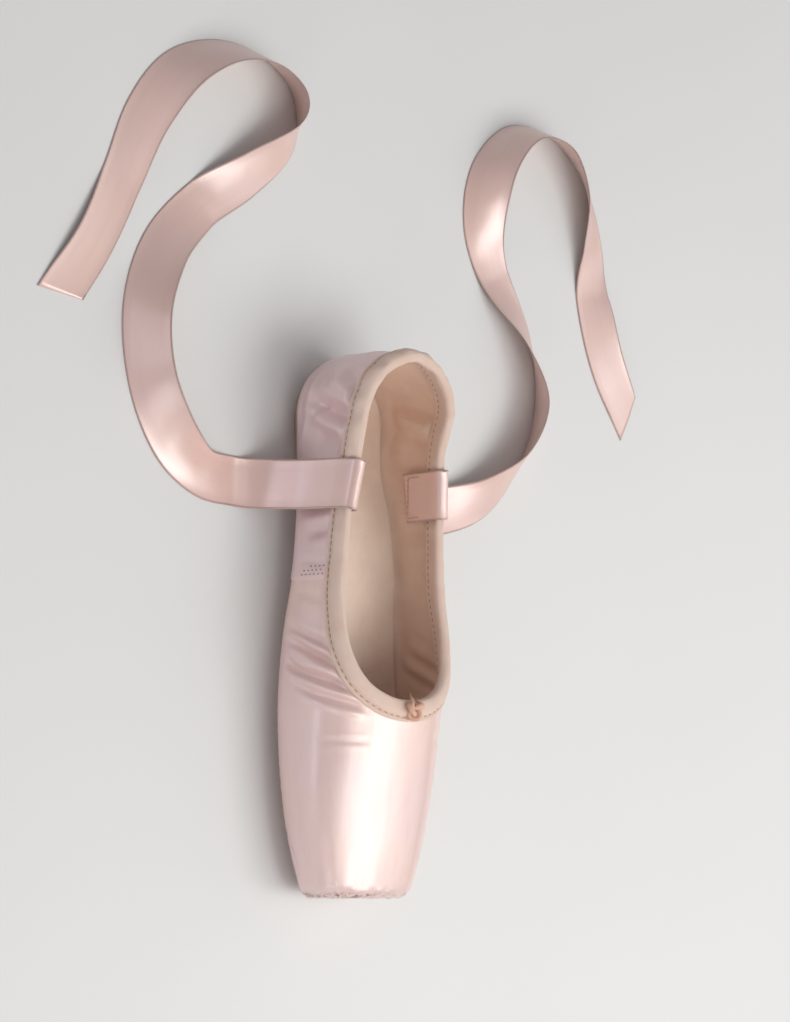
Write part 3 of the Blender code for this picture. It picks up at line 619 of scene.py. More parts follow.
class Skin:
    """The last's surface along a set of rays, from the opening underneath to the topline."""

    def __init__(self, place):
        self.place = np.asarray(place, float)
        points = ray_points(self.place, lifts(self.place, PROFILE_SAMPLES))
        spine = ray_plan(self.place)[0]
        flat = np.hypot(points[:, :, 0] - spine[:, None], points[:, :, 1])
        over = points[:, :, 2] - topline_height(points[:, :, 0])
        steps = np.linalg.norm(np.diff(points, axis=1), axis=2)
        self.points = points
        self.run = np.concatenate([np.zeros((len(points), 1)), np.cumsum(steps, axis=1)], axis=1)
        self.start = np.array([np.interp(h, f[:k], r[:k]) for h, f, r, k in zip(
            opening_reach(self.place), flat, self.run, np.argmax(flat, axis=1))])
        self.top = np.array([self.crossing(o, r) for o, r in zip(over, self.run)])

    @staticmethod
    def crossing(over, run):
        k = int(np.argmax(over > 0))
        share = over[k - 1] / (over[k - 1] - over[k])
        return run[k - 1] + share * (run[k] - run[k - 1])

    def at(self, runs):
        """Points in X, Y, Z at the given distances along each ray."""
        return world([
            np.stack([np.interp(r, run, line[:, i]) for i in range(3)], axis=1)
            for r, run, line in zip(runs, self.run, self.points)
        ])


def crowd(line, values, count, bend_weight, extra=0.0):
    """Values at points spread along a fine line, closer together at bends and where extra is above 0."""
    legs = np.diff(line, axis=0)
    size = np.linalg.norm(legs, axis=1)
    turns = np.linalg.norm(np.diff(legs / size[:, None], axis=0), axis=1)
    turns = np.convolve(np.concatenate([[0], turns]), np.ones(TURN_BLUR) / TURN_BLUR, mode="same")
    weight = np.concatenate([[0], np.cumsum(size * (1 + extra) + bend_weight * turns)])
    return np.interp(np.linspace(0, weight[-1], count + 1), weight, values)


def fine_places():
    """Rays spread along the outline, the same on both sides, with close ones at the side seams."""
    fine = np.linspace(0, WHOLE_TRIP / 2, OUTLINE_SAMPLES)
    ends = ray_points(fine, np.zeros((len(fine), 1)))[:, 0, :2]
    station = ends[1:, 0]
    creased = sum((station > front) & (station < back) for front, back in CREASED)
    place = crowd(ends, fine, RAYS_PER_SIDE, OUTLINE_BEND_WEIGHT, CREASED_WEIGHT * creased)
    seam = np.interp(-SEAM_STATION, -ray_plan(fine)[0], fine)
    place = place[np.abs(place - seam) > SEAM_CLEAR]
    place = np.sort(np.concatenate([place, seam + np.array(SEAM_OFFSETS)]))
    return np.concatenate([place, (WHOLE_TRIP - place[1:-1])[::-1]])


def row_runs(skin, rows):
    """Distances along each ray from the opening below to the topline, closer together where it bends."""
    result = []
    for run, points, start, top in zip(skin.run, skin.points, skin.start, skin.top):
        fine = np.linspace(start, top, ROW_SAMPLES)
        line = np.stack([np.interp(fine, run, column) for column in points.T], axis=1)
        result.append(crowd(line, fine, rows, ROW_BEND_WEIGHT))
    return np.array(result)


def outward(points, place):
    """Unit normals of a grid of rays and rows, away from the spine."""
    around = np.roll(points, -1, axis=0) - np.roll(points, 1, axis=0)
    along = np.gradient(points, axis=1)
    normals = np.cross(around, along)
    normals /= np.maximum(np.linalg.norm(normals, axis=2), 1e-12)[:, :, None]
    spine = world(np.stack([ray_plan(place)[0], 0 * place, 0 * place + SPINE_HEIGHT], axis=1))
    return normals * np.sign(np.sum(normals * (points - spine[:, None]), axis=2))[:, :, None]


def wall_at(station, share, facing):
    """Wall thickness: stiff in the box, thin in the quarters, steady in the margin underneath."""
    behind = ease((station - 0.55 * VAMP_LENGTH) / (0.75 * VAMP_LENGTH))
    wall = BOX_WALL + (QUARTER_WALL - BOX_WALL) * behind
    wall = wall + (QUARTER_WALL - wall) * ease((share - 0.6) / 0.35)
    return wall + (MARGIN_WALL - wall) * ease((-facing - 0.2) / 0.6)


def skin_points(spots):
    """Points of the last's skin in X, Y, Z at rows of (station, turn)."""
    station, turn = np.array(spots, float).T
    side, lift = np.sin(np.radians(turn)), np.cos(np.radians(turn))

    def held(reach):
        return inside_last(station, reach * side, SPINE_HEIGHT + reach * lift)

    reach = solve(held, np.full(len(station), LENGTH))
    return world(np.stack([station, reach * side, SPINE_HEIGHT + reach * lift], axis=1))


def smooth_line(points, parts=8):
    """Points on a smooth curve through a row of points."""
    points = np.array(points, float)
    points = np.concatenate([[2 * points[0] - points[1]], points, [2 * points[-1] - points[-2]]])
    line = []
    for a, b, c, d in zip(points, points[1:], points[2:], points[3:]):
        for f in np.arange(parts) / parts:
            bend = (2 * a - 5 * b + 4 * c - d) * f ** 2 + (3 * b - a - 3 * c + d) * f ** 3
            line.append(b + ((c - a) * f + bend) / 2)
    return np.array(line + [points[-2]])


def nearest_on(line, points):
    """How far each point is from a line, and at which share of the line's length."""
    before = run_along(line)
    best = np.full(len(points), np.inf)
    share = np.zeros(len(points))
    for start, leg, length, run in zip(line, np.diff(line, axis=0), np.diff(before), before):
        along = np.clip((points - start) @ leg / length ** 2, 0, 1)
        away = np.linalg.norm(points - start - along[:, None] * leg, axis=1)
        nearer = away < best
        best = np.where(nearer, away, best)
        share = np.where(nearer, (run + along * length) / before[-1], share)
    return best, share


def fold_relief(points, folds):
    """Soft troughs with low banks beside them, and soft ridges, which fade out at their ends."""
    relief = np.zeros(len(points))
    for depth, width, spots in folds:
        line = smooth_line(skin_points(spots), 5)
        reach = 4 * width
        near = np.all((points > line.min(axis=0) - reach) & (points < line.max(axis=0) + reach), axis=1)
        away, share = nearest_on(line, points[near])
        fade = ease(share / 0.22 + 0.25) * ease((1 - share) / 0.35)
        trough = np.exp(-(away / width) ** FOLD_SHARPNESS)
        bank = np.exp(-((away - BANK_PLACE * width) / (BANK_WIDTH * width)) ** 2)
        relief[near] += fade * depth * (BANK_HEIGHT * bank - trough)
    return relief


def soft_noise(points, seed, size, waves=24):
    """Smooth noise from -1 to 1 or so, whose bumps are about the given size."""
    draw = np.random.default_rng(seed)
    ways = draw.normal(size=(waves, 3))
    ways *= (2 * math.pi / size * draw.uniform(0.6, 1.4, waves) / np.linalg.norm(ways, axis=1))[:, None]
    phases = draw.uniform(0, 2 * math.pi, waves)
    return np.sin(points @ ways.T + phases).sum(axis=1) * math.sqrt(2 / waves)


def uneven(points, row):
    """Smooth noise by a row of height, seed and size."""
    height, seed, size = row
    return height * soft_noise(points, seed, size)


def relief_at(points, drops):
    """How far the worn satin stands off the last's skin: folds, slack and the drawn-up edge."""
    station = LENGTH / 2 - points[:, 0]
    above_floor = ease((points[:, 2] - 0.006) / 0.012)
    slack = 0.25 + 0.75 * ease((station - 0.085) / 0.03)
    relief = fold_relief(points, BREAK_FOLDS + HEEL_FOLDS) * ease((drops - TAPE_HOLD) / TAPE_EASE)
    relief += slack * uneven(points, SATIN_SLACK)
    relief += ease((station - 0.11) / 0.03) * uneven(points, QUARTER_SLACK)
    drawn = np.exp(-np.clip(drops, 0, None) / 0.009) * ease((station - 0.10) / 0.06)
    relief += drawn * uneven(points * [1, 1, 0.35], DRAWN_EDGE)
    return relief * above_floor


def outer_relief(points, normals):
    """What only the satin's outside has: the quarters' lap, the back seam and the pleats at the toe."""
    station = LENGTH / 2 - points[:, 0]
    sideways = ease((np.abs(normals[:, 1]) - 0.25) / 0.3)
    behind = station - SEAM_STATION
    lap = SEAM_STEP * ease(behind / SEAM_LAP + 0.5) * np.clip(1 - behind / SEAM_FADE, 0, 1)
    relief = lap * sideways
    at_back = ease((station - HEEL_CENTRE) / 0.02)
    seam = np.exp(-(points[:, 1] / BACK_SEAM_HALF) ** 2)
    tape = ease((BACK_TAPE_HALF - np.abs(points[:, 1])) / 0.0006)
    relief += (BACK_TAPE_STEP * tape - BACK_SEAM_DEPTH * seam) * at_back
    under = ease((-normals[:, 2] - 0.62) / 0.25) * ease((PLEAT_END - station) / 0.03)
    clear = ease((np.abs(points[:, 1]) - outsole_half(station) - 0.001) / 0.003)
    clear = np.where(station < OUTSOLE_START - 0.001, 1.0, clear)
    fan = np.arctan2(points[:, 1], PLEAT_CENTRE - station)
    steps = fan * PLEATS / math.pi + 0.18 * np.sin(fan * 9.0)
    saw = steps - np.floor(steps)
    saw = np.where(saw < PLEAT_LEAN, saw / PLEAT_LEAN, (1 - saw) / (1 - PLEAT_LEAN))
    relief += PLEAT_DEPTH * (saw - PLEAT_MIDDLE) * under * clear
    return relief + ease((0.008 - station) / 0.005) * uneven(points, TIP_WEAR)


def worn_skin(points, normals, drops):
    """Points of a grid moved by the relief that satin and lining share."""
    flat = relief_at(points.reshape(-1, 3), drops.ravel())
    return points + normals * flat.reshape(drops.shape)[:, :, None]


class Band:
    """The worn skin near the topline, read at any place along it and any depth below it."""

    def __init__(self, skin):
        self.place = skin.place
        self.depths = np.linspace(BAND_TOP, BAND_DEPTH, BAND_ROWS)
        runs = skin.top[:, None] - self.depths[None, :]
        points = skin.at(runs)
        self.normals = outward(points, skin.place)
        self.points = worn_skin(points, self.normals, np.broadcast_to(self.depths, runs.shape))
        self.edge = self.points[:, BAND_EDGE_ROW]
        self.run = run_along(self.edge)
        self.length = self.run[-1] + np.linalg.norm(self.edge[0] - self.edge[-1])

    def blend(self, grid, place, depth):
        """A grid's value between its rays and rows."""
        row = (np.asarray(depth) - self.depths[0]) / (self.depths[1] - self.depths[0])
        ray = np.interp(place, np.append(self.place, WHOLE_TRIP), np.arange(len(self.place) + 1))
        i, j = np.floor(ray).astype(int), np.clip(np.floor(row).astype(int), 0, BAND_ROWS - 2)
        f, g = (ray - i)[..., None], (row - j)[..., None]
        i, k = i % len(self.place), (i + 1) % len(self.place)
        near = grid[i, j] * (1 - g) + grid[i, j + 1] * g
        far = grid[k, j] * (1 - g) + grid[k, j + 1] * g
        return near * (1 - f) + far * f

    def spot(self, place, depth):
        """Point and outward normal at a place along the topline and a depth below it."""
        place, depth = np.broadcast_arrays(np.asarray(place, float) % WHOLE_TRIP, depth)
        return self.blend(self.points, place, depth), unit(self.blend(self.normals, place, depth))

    def rise(self, place):
        """Unit direction that climbs the wall to the topline."""
        return unit(self.spot(place, 0.0)[0] - self.spot(place, 0.002)[0])

    def places(self, pitch, start):
        """Places an even distance apart along the topline."""
        count = int(round(self.length / pitch))
        wanted = (np.arange(count) + start) * self.length / count
        return np.interp(wanted, np.append(self.run, self.length), np.append(self.place, WHOLE_TRIP))


def place_at(side, station):
    """The place on one side whose ray stands at a station."""
    fine = np.linspace(0, WHOLE_TRIP / 2, OUTLINE_SAMPLES)
    place = np.interp(-np.asarray(station), -ray_plan(fine)[0], fine)
    return place if side < 0 else WHOLE_TRIP - place


class Finish:
    """A material whose nodes are made in short calls."""

    def __init__(self, name, **values):
        self.material = bpy.data.materials.new(name)
        self.material.use_nodes = True
        self.tree = self.material.node_tree
        self.shader = self.tree.nodes["Principled BSDF"]
        self.position = self.node("ShaderNodeTexCoord", output="Object")
        self.weave = self.node("ShaderNodeUVMap", uv_map="weave")
        self.set(**values)

    def set(self, **values):
        """Set or link the shader's sockets, named in lower case with underscores."""
        names = {socket.name.lower().replace(" ", "_"): socket for socket in self.shader.inputs}
        for name, value in values.items():
            self.feed(names[name], value)

    def feed(self, socket, value):
        if isinstance(value, bpy.types.NodeSocket):
            self.tree.links.new(value, socket)
        elif isinstance(value, tuple) and len(value) == 3 and socket.type == "RGBA":
            socket.default_value = (*value, 1)
        else:
            socket.default_value = value

    def node(self, kind, inputs=(), output=0, **settings):
        made = self.tree.nodes.new(kind)
        for name, value in settings.items():
            setattr(made, name, value)
        for name, value in dict(inputs).items():
            self.feed(made.inputs[name], value)
        return made.outputs[output]

    def stretch(self, vector, x, y, z):
        return self.node("ShaderNodeMapping", {"Vector": vector, "Scale": (x, y, z)})

    def noise(self, vector, scale, detail, roughness=0.55):
        inputs = {"Vector": vector, "Scale": scale, "Detail": detail, "Roughness": roughness}
        return self.node("ShaderNodeTexNoise", inputs)

    def ridges(self, vector, scale, axis, distortion):
        inputs = {"Vector": vector, "Scale": scale, "Distortion": distortion, "Detail": 1.0}
        return self.node("ShaderNodeTexWave", inputs, output=1, bands_direction=axis)

    def cloth(self, scale, axes, distortion):
        """Threads along two axes, woven."""
        return self.math("MAXIMUM", *(self.ridges(self.position, scale, axis, distortion) for axis in axes))

    def times(self, a, b):
        return self.math("MULTIPLY", a, b)

    def math(self, operation, a, b=0.0, c=0.0):
        return self.node("ShaderNodeMath", {0: a, 1: b, 2: c}, operation=operation)

    def step(self, value, low, high):
        """0 below low, 1 above high and soft between; falling where low is above high."""
        inputs = {"Value": value, "From Min": low, "From Max": high}
        return self.node("ShaderNodeMapRange", inputs, interpolation_type="SMOOTHSTEP")

    def part(self, vector, axis):
        return self.node("ShaderNodeSeparateXYZ", {0: vector}, output=axis)

    def mix(self, factor, a, b):
        return self.node("ShaderNodeMix", {0: factor, 6: a, 7: b}, output=2, data_type="RGBA")

    def tint(self, colour, mask, share, other):
        """The colour, turned into another by a share of the mask."""
        return self.mix(self.times(mask, share), colour, other)

    def clouded(self, scale, low, high, one, other, detail=4.0):
        """Two colours in soft patches."""
        return self.mix(self.step(self.noise(self.position, scale, detail), low, high), one, other)

    def normal(self):
        """What feeds the shader's normal so far."""
        return self.shader.inputs["Normal"].links[0].from_socket

    def bump(self, height, distance, below=None):
        inputs = {"Height": height, "Distance": distance, "Strength": 1.0}
        if below is not None:
            inputs["Normal"] = below
        return self.node("ShaderNodeBump", inputs)


def satin_finish(name, warm, cool, dirt, along=False):
    """Glossy warp-faced satin: fine threads along the shoe or ribbon, faint slubs, soft shifts of colour."""
    finish = Finish(name, ior=1.8, specular_ior_level=1.0, metallic=0.05, anisotropic=0.6,
                    anisotropic_rotation=0.25, coat_weight=0.15, coat_roughness=0.22,
                    sheen_weight=0.10, sheen_roughness=0.35, sheen_tint=(1.0, 0.93, 0.90))
    if along:
        threads = finish.stretch(finish.weave, 60, 3200, 1)
        slubs = finish.stretch(finish.weave, 14, 260, 1)
        tangent = finish.node("ShaderNodeTangent", direction_type="UV_MAP", uv_map="weave")
    else:
        threads = finish.stretch(finish.position, 60, 3200, 3200)
        slubs = finish.stretch(finish.position, 14, 260, 260)
        tangent = finish.node("ShaderNodeTangent", direction_type="RADIAL", axis="X")
    thread = finish.noise(threads, 1.0, 2.0)
    slub = finish.noise(slubs, 1.0, 3.0)
    colour = finish.clouded(26.0, 0.35, 0.68, warm, cool, detail=2.0)
    colour = finish.tint(colour, finish.step(slub, 0.45, 0.75), 0.10, dirt)
    relief = finish.bump(slub, 0.00006, finish.bump(thread, 0.00003))
    finish.set(normal=relief, roughness=finish.math("MULTIPLY_ADD", slub, 0.14, 0.27), tangent=tangent)
    return finish, colour


def upper_finish():
    """The shoe's satin, mauver behind the side seams and rubbed dirty at the tip and along the floor."""
    warm, cool, dirt = (0.84, 0.60, 0.53), (0.81, 0.585, 0.555), (0.42, 0.28, 0.24)
    finish, colour = satin_finish("upper_satin", warm, cool, dirt)
    x, y, z = (finish.part(finish.position, axis) for axis in range(3))
    toe = LENGTH / 2
    seam = toe - SEAM_STATION
    quarter = finish.step(x, seam + 0.0003, seam - 0.0003)
    colour = finish.tint(colour, quarter, 0.55, (0.77, 0.555, 0.58))
    fine = finish.noise(finish.position, 420.0, 5.0, 0.65)
    blot = finish.noise(finish.position, 130.0, 4.0, 0.6)
    tip = finish.step(x, toe - 0.0050, toe - 0.0012)
    worn = finish.times(tip, finish.step(blot, 0.40, 0.62))
    colour = finish.tint(colour, worn, 0.45, (0.62, 0.50, 0.43))
    grime = finish.times(finish.step(z, 0.0085, 0.0035), finish.step(blot, 0.42, 0.70))
    colour = finish.tint(colour, grime, 0.40, (0.33, 0.27, 0.24))
    colour = finish.tint(colour, finish.step(fine, 0.70, 0.72), 0.35, (0.42, 0.27, 0.23))
    off_face = finish.step(x, toe + 0.00005, toe - 0.0005)
    rim = finish.times(finish.step(x, toe - 0.0030, toe - 0.0010), off_face)
    corner = finish.times(rim, finish.step(y, 0.002, -0.010))
    torn = finish.times(corner, finish.step(fine, 0.53, 0.56))
    specks = finish.math("MAXIMUM", torn, finish.times(tip, finish.step(fine, 0.635, 0.665)))
    colour = finish.tint(colour, specks, 0.85, (0.17, 0.03, 0.03))
    frayed = finish.bump(finish.times(worn, fine), 0.0007, finish.normal())
    finish.set(base_color=colour, normal=frayed)
    return finish.material


def lining_finish():
    """Peach cotton twill inside the shoe, in two soft shades."""
    finish = Finish("lining_canvas", roughness=0.88, sheen_weight=0.2, sheen_roughness=0.6)
    colour = finish.clouded(38.0, 0.35, 0.7, (0.86, 0.66, 0.53), (0.77, 0.55, 0.44))
    finish.set(base_color=colour, normal=finish.bump(finish.cloth(620.0, "XZ", 0.4), 0.00010))
    return finish.material


def binding_finish():
    """Matte peach cotton tape with a fine ribbed weave across it."""
    finish = Finish("binding_cotton", roughness=0.82, sheen_weight=0.35, sheen_roughness=0.5,
                    sheen_tint=(1.0, 0.90, 0.84), specular_ior_level=0.3)
    ribs = finish.ridges(finish.weave, 1500.0, "X", 0.6)
    threads = finish.ridges(finish.weave, 1900.0, "Y", 0.5)
    fluff = finish.noise(finish.position, 900.0, 3.0)
    colour = finish.clouded(70.0, 0.3, 0.72, (0.99, 0.78, 0.66), (0.97, 0.71, 0.58))
    colour = finish.tint(colour, finish.step(fluff, 0.5, 0.8), 0.2, (0.97, 0.83, 0.75))
    relief = finish.bump(finish.math("MULTIPLY_ADD", ribs, 0.6, threads), 0.00007)
    finish.set(base_color=colour, normal=finish.bump(fluff, 0.00009, relief))
    return finish.material


def thread_finish(name):
    """Twisted thread or cord: slanted plies, matte."""
    colour, shadow = THREADS[name]
    finish = Finish(name, roughness=0.75, sheen_weight=0.3, sheen_roughness=0.5)
    ply = finish.ridges(finish.position, 950.0, "DIAGONAL", 0.8)
    fuzz = finish.noise(finish.position, 1300.0, 3.0)
    relief = finish.bump(finish.math("ADD", ply, fuzz), 0.00012)
    finish.set(base_color=finish.mix(ply, shadow, colour), normal=relief)
    return finish.material


def ribbon_finish():
    """Ribbon satin with a darker woven edge on each side."""
    warm, cool, dirt = (0.79, 0.535, 0.465), (0.76, 0.525, 0.475), (0.50, 0.32, 0.28)
    finish, colour = satin_finish("ribbon_satin", warm, cool, dirt, along=True)
    across = finish.part(finish.weave, 1)
    middle = finish.math("ABSOLUTE", finish.math("SUBTRACT", across, RIBBON_WIDTH / 2))
    edge = finish.step(middle, RIBBON_WIDTH / 2 - 0.0010, RIBBON_WIDTH / 2 - 0.0006)
    picks = finish.ridges(finish.weave, 1400.0, "X", 0.2)
    colour = finish.tint(colour, edge, 0.55, (0.58, 0.36, 0.31))
    woven = finish.bump(finish.times(edge, picks), 0.00012, finish.normal())
    finish.set(base_color=colour, normal=woven)
    return finish.material


def canvas_finish():
    """The insole's cotton canvas, in two soft shades."""
    finish = Finish("insole_canvas", roughness=0.9, sheen_weight=0.15)
    colour = finish.clouded(30.0, 0.3, 0.7, (0.87, 0.71, 0.59), (0.77, 0.59, 0.48))
    finish.set(base_color=colour, normal=finish.bump(finish.cloth(560.0, "XY", 0.3), 0.00012))
    return finish.material


def leather_finish():
    """Undyed split leather: short nap, scuffs and dirt where it meets the floor."""
    finish = Finish("outsole_leather", roughness=0.78, sheen_weight=0.25, sheen_roughness=0.45)
    nap = finish.noise(finish.position, 1100.0, 5.0, 0.7)
    scuff = finish.noise(finish.stretch(finish.position, 60, 420, 60), 1.0, 4.0, 0.65)
    blot = finish.noise(finish.position, 55.0, 4.0, 0.6)
    colour = finish.mix(finish.step(blot, 0.3, 0.7), (0.60, 0.45, 0.31), (0.50, 0.355, 0.235))
    touch = finish.step(finish.part(finish.position, 2), 0.0012, 0.0002)
    rubbed = finish.times(touch, finish.step(scuff, 0.42, 0.62))
    colour = finish.tint(colour, rubbed, 0.65, (0.24, 0.185, 0.15))
    finish.set(base_color=colour, normal=finish.bump(scuff, 0.00012, finish.bump(nap, 0.00018)))
    return finish.material


def floor_finish():
    finish = Finish("studio_floor", roughness=0.62, specular_ior_level=0.25)
    colour = finish.clouded(3.0, 0.3, 0.7, (0.765, 0.765, 0.752), (0.745, 0.747, 0.737), detail=2.0)
    finish.set(base_color=colour, normal=finish.bump(finish.noise(finish.position, 700.0, 3.0), 0.00004))
    return finish.material


def grid_object(name, rings, finishes, capped=False, slots=None, uv=None):
    """A closed mesh object from rings of points, each a closed loop.

    The rings close into a round too, or the first and last are capped. The slots say which finish each
    face of a loop has, and uv has a place for each point.
    """
    count, rows = rings.shape[:2]
    spans = count - 1 if capped else count
    i, j = np.meshgrid(np.arange(spans), np.arange(rows), indexing="ij")
    k, m = (i + 1) % count, (j + 1) % rows
    corners = [i * rows + j, i * rows + m, k * rows + m, k * rows + j]
    faces = np.stack(corners, axis=-1).reshape(-1, 4).tolist()
    if capped:
        faces += [list(range(rows))[::-1], [(count - 1) * rows + n for n in range(rows)]]
    mesh = bpy.data.meshes.new(name)
    mesh.from_pydata(rings.reshape(-1, 3).tolist(), [], faces)
    for finish in finishes:
        mesh.materials.append(finish)
    if slots is not None:
        mesh.polygons.foreach_set("material_index", np.tile(slots, spans).astype(np.int32))
    if uv is not None:
        corners = np.zeros(len(mesh.loops), np.int32)
        mesh.loops.foreach_get("vertex_index", corners)
        layer = mesh.uv_layers.new(name="weave")
        layer.data.foreach_set("uv", uv.reshape(-1, 2)[corners].ravel())
    return link(name, mesh)


def link(name, mesh):
    """An object of a closed mesh, smooth and with its faces pointing out."""
    shape = bmesh.new()
    shape.from_mesh(mesh)
    bmesh.ops.recalc_face_normals(shape, faces=shape.faces)
    shape.to_mesh(mesh)
    shape.free()
    mesh.shade_smooth()
    made = bpy.data.objects.new(name, mesh)
    bpy.context.collection.objects.link(made)
    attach(made, "root")
    return made


def many(name, parts, finish):
    """One object of many small closed meshes, each given as (points, faces)."""
    points, faces = [], []
    for spots, sides in parts:
        faces += [[len(points) + n for n in side] for side in sides]
        points += [tuple(spot) for spot in spots]
    mesh = bpy.data.meshes.new(name)
    mesh.from_pydata(points, [], faces)
    mesh.materials.append(finish)
    return link(name, mesh)


def tube(line, radii, sides):
    """Points and faces of a closed tube along a line, with a radius for each point and pointed ends."""
    line, radii = np.asarray(line, float), np.broadcast_to(radii, (len(line),))
    ahead = unit(np.gradient(line, axis=0))
    side = np.cross(ahead[0], [0.31, 0.52, 0.79])
    points, faces = [line[0] - ahead[0] * radii[0] * 0.6], []
    angles = np.arange(sides) * 2 * math.pi / sides
    for spot, way, radius in zip(line, ahead, radii):
        side = unit(side - way * (side @ way))
        other = np.cross(way, side)
        points += [spot + radius * (math.cos(a) * side + math.sin(a) * other) for a in angles]
    points.append(line[-1] + ahead[-1] * radii[-1] * 0.6)
    for j in range(sides):
        k = (j + 1) % sides
        faces.append((0, 1 + j, 1 + k))
        for i in range(len(line) - 1):
            a, b = 1 + i * sides, 1 + (i + 1) * sides
            faces.append((a + j, a + k, b + k, b + j))
        last = 1 + (len(line) - 1) * sides
        faces.append((len(points) - 1, last + k, last + j))
    return points, faces


def stitch(start, end, out, radius, arch=0.5):
    """A short thread that comes out of the cloth, arches over it and goes in again."""
    share = np.linspace(0, 1, 5)[:, None]
    height = radius * (4 * share * (1 - share) * (1 + arch) - 0.5)
    return tube(start + (end - start) * share + out * height, radius, 6)


def make_camera():
    """The photograph's camera, turned so that the aim point lands on its pixel."""
    azimuth, elevation, roll = map(math.radians, (CAMERA_AZIMUTH, CAMERA_ELEVATION, CAMERA_ROLL))
    flat = math.cos(elevation)
    back = Vector((math.sin(azimuth) * flat, -math.cos(azimuth) * flat, math.sin(elevation)))
    level = Vector((0, 0, 1)).cross(back).normalized()
    upright = back.cross(level)
    right = level * math.cos(roll) + upright * math.sin(roll)
    up = upright * math.cos(roll) - level * math.sin(roll)
    turn = Matrix((right, up, back)).transposed()
    width, height = PICTURE_SIZE
    aim = Vector((AIM_PIXEL[0] - width / 2, height / 2 - AIM_PIXEL[1], -FOCAL_PIXELS))
    shift = Vector((0, 0, -1)).rotation_difference(aim.normalized()).to_matrix()
    data = bpy.data.cameras.new("camera")
    data.sensor_width = SENSOR
    data.lens = FOCAL_PIXELS * SENSOR / height
    data.clip_start, data.clip_end = 0.05, 20
    camera = bpy.data.objects.new("camera", data)
    spot = Vector(AIM) + back * CAMERA_DISTANCE
    camera.matrix_world = Matrix.Translation(spot) @ (turn @ shift.inverted()).to_4x4()
    bpy.context.collection.objects.link(camera)
    bpy.context.scene.camera = camera


def add_light(name, place, target, size, power, colour):
    data = bpy.data.lights.new(name, "AREA")
    data.shape = "RECTANGLE"
    data.size, data.size_y = size
    data.energy = power
    data.color = colour
    light = bpy.data.objects.new(name, data)
    light.location = place
    light.rotation_euler = (Vector(target) - Vector(place)).to_track_quat("-Z", "Y").to_euler()
    bpy.context.collection.objects.link(light)


def make_studio():
    """A pale floor under a broad softbox, a low cool fill, three other lights and a bright room."""
    mesh = bpy.data.meshes.new("floor")
    corners = [(x * FLOOR_HALF, y * FLOOR_HALF, 0) for x, y in ((-1, -1), (1, -1), (1, 1), (-1, 1))]
    mesh.from_pydata(corners, [], [(0, 1, 2, 3)])
    mesh.materials.append(floor_finish())
    floor = bpy.data.objects.new("floor", mesh)
    bpy.context.collection.objects.link(floor)
    for light in LIGHTS:
        add_light(*light)
    world = bpy.data.worlds.new("room")
    world.use_nodes = True
    sky = world.node_tree.nodes["Background"]
    sky.inputs["Color"].default_value = (*ROOM_COLOUR, 1)
    sky.inputs["Strength"].default_value = ROOM_STRENGTH
    scene = bpy.context.scene
    scene.world = world
    scene.view_settings.view_transform = "Standard"


def make_upper(skin):
    """One closed shell: worn satin outside, canvas lining inside."""
    runs = row_runs(skin, OUTER_ROWS)
    share = (runs - skin.start[:, None]) / (skin.top - skin.start)[:, None]
    points = skin.at(runs)
    normals = outward(points, skin.place)
    drops = skin.top[:, None] - runs
    worn = worn_skin(points, normals, drops)
    own = outer_relief(points.reshape(-1, 3), normals.reshape(-1, 3))
    outer = worn + normals * own.reshape(runs.shape)[:, :, None]
    wall = wall_at(LENGTH / 2 - points[:, :, 0], share, normals[:, :, 2])
    inner = (worn - normals * wall[:, :, None])[:, ::-INNER_STRIDE]
    slots = [0] * (runs.shape[1] - 1) + [1] * (inner.shape[1] + 1)
    rings = np.concatenate([outer, inner], axis=1)
    upper = grid_object("satin_upper", rings, [upper_finish(), lining_finish()], slots=slots)
    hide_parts("upper")


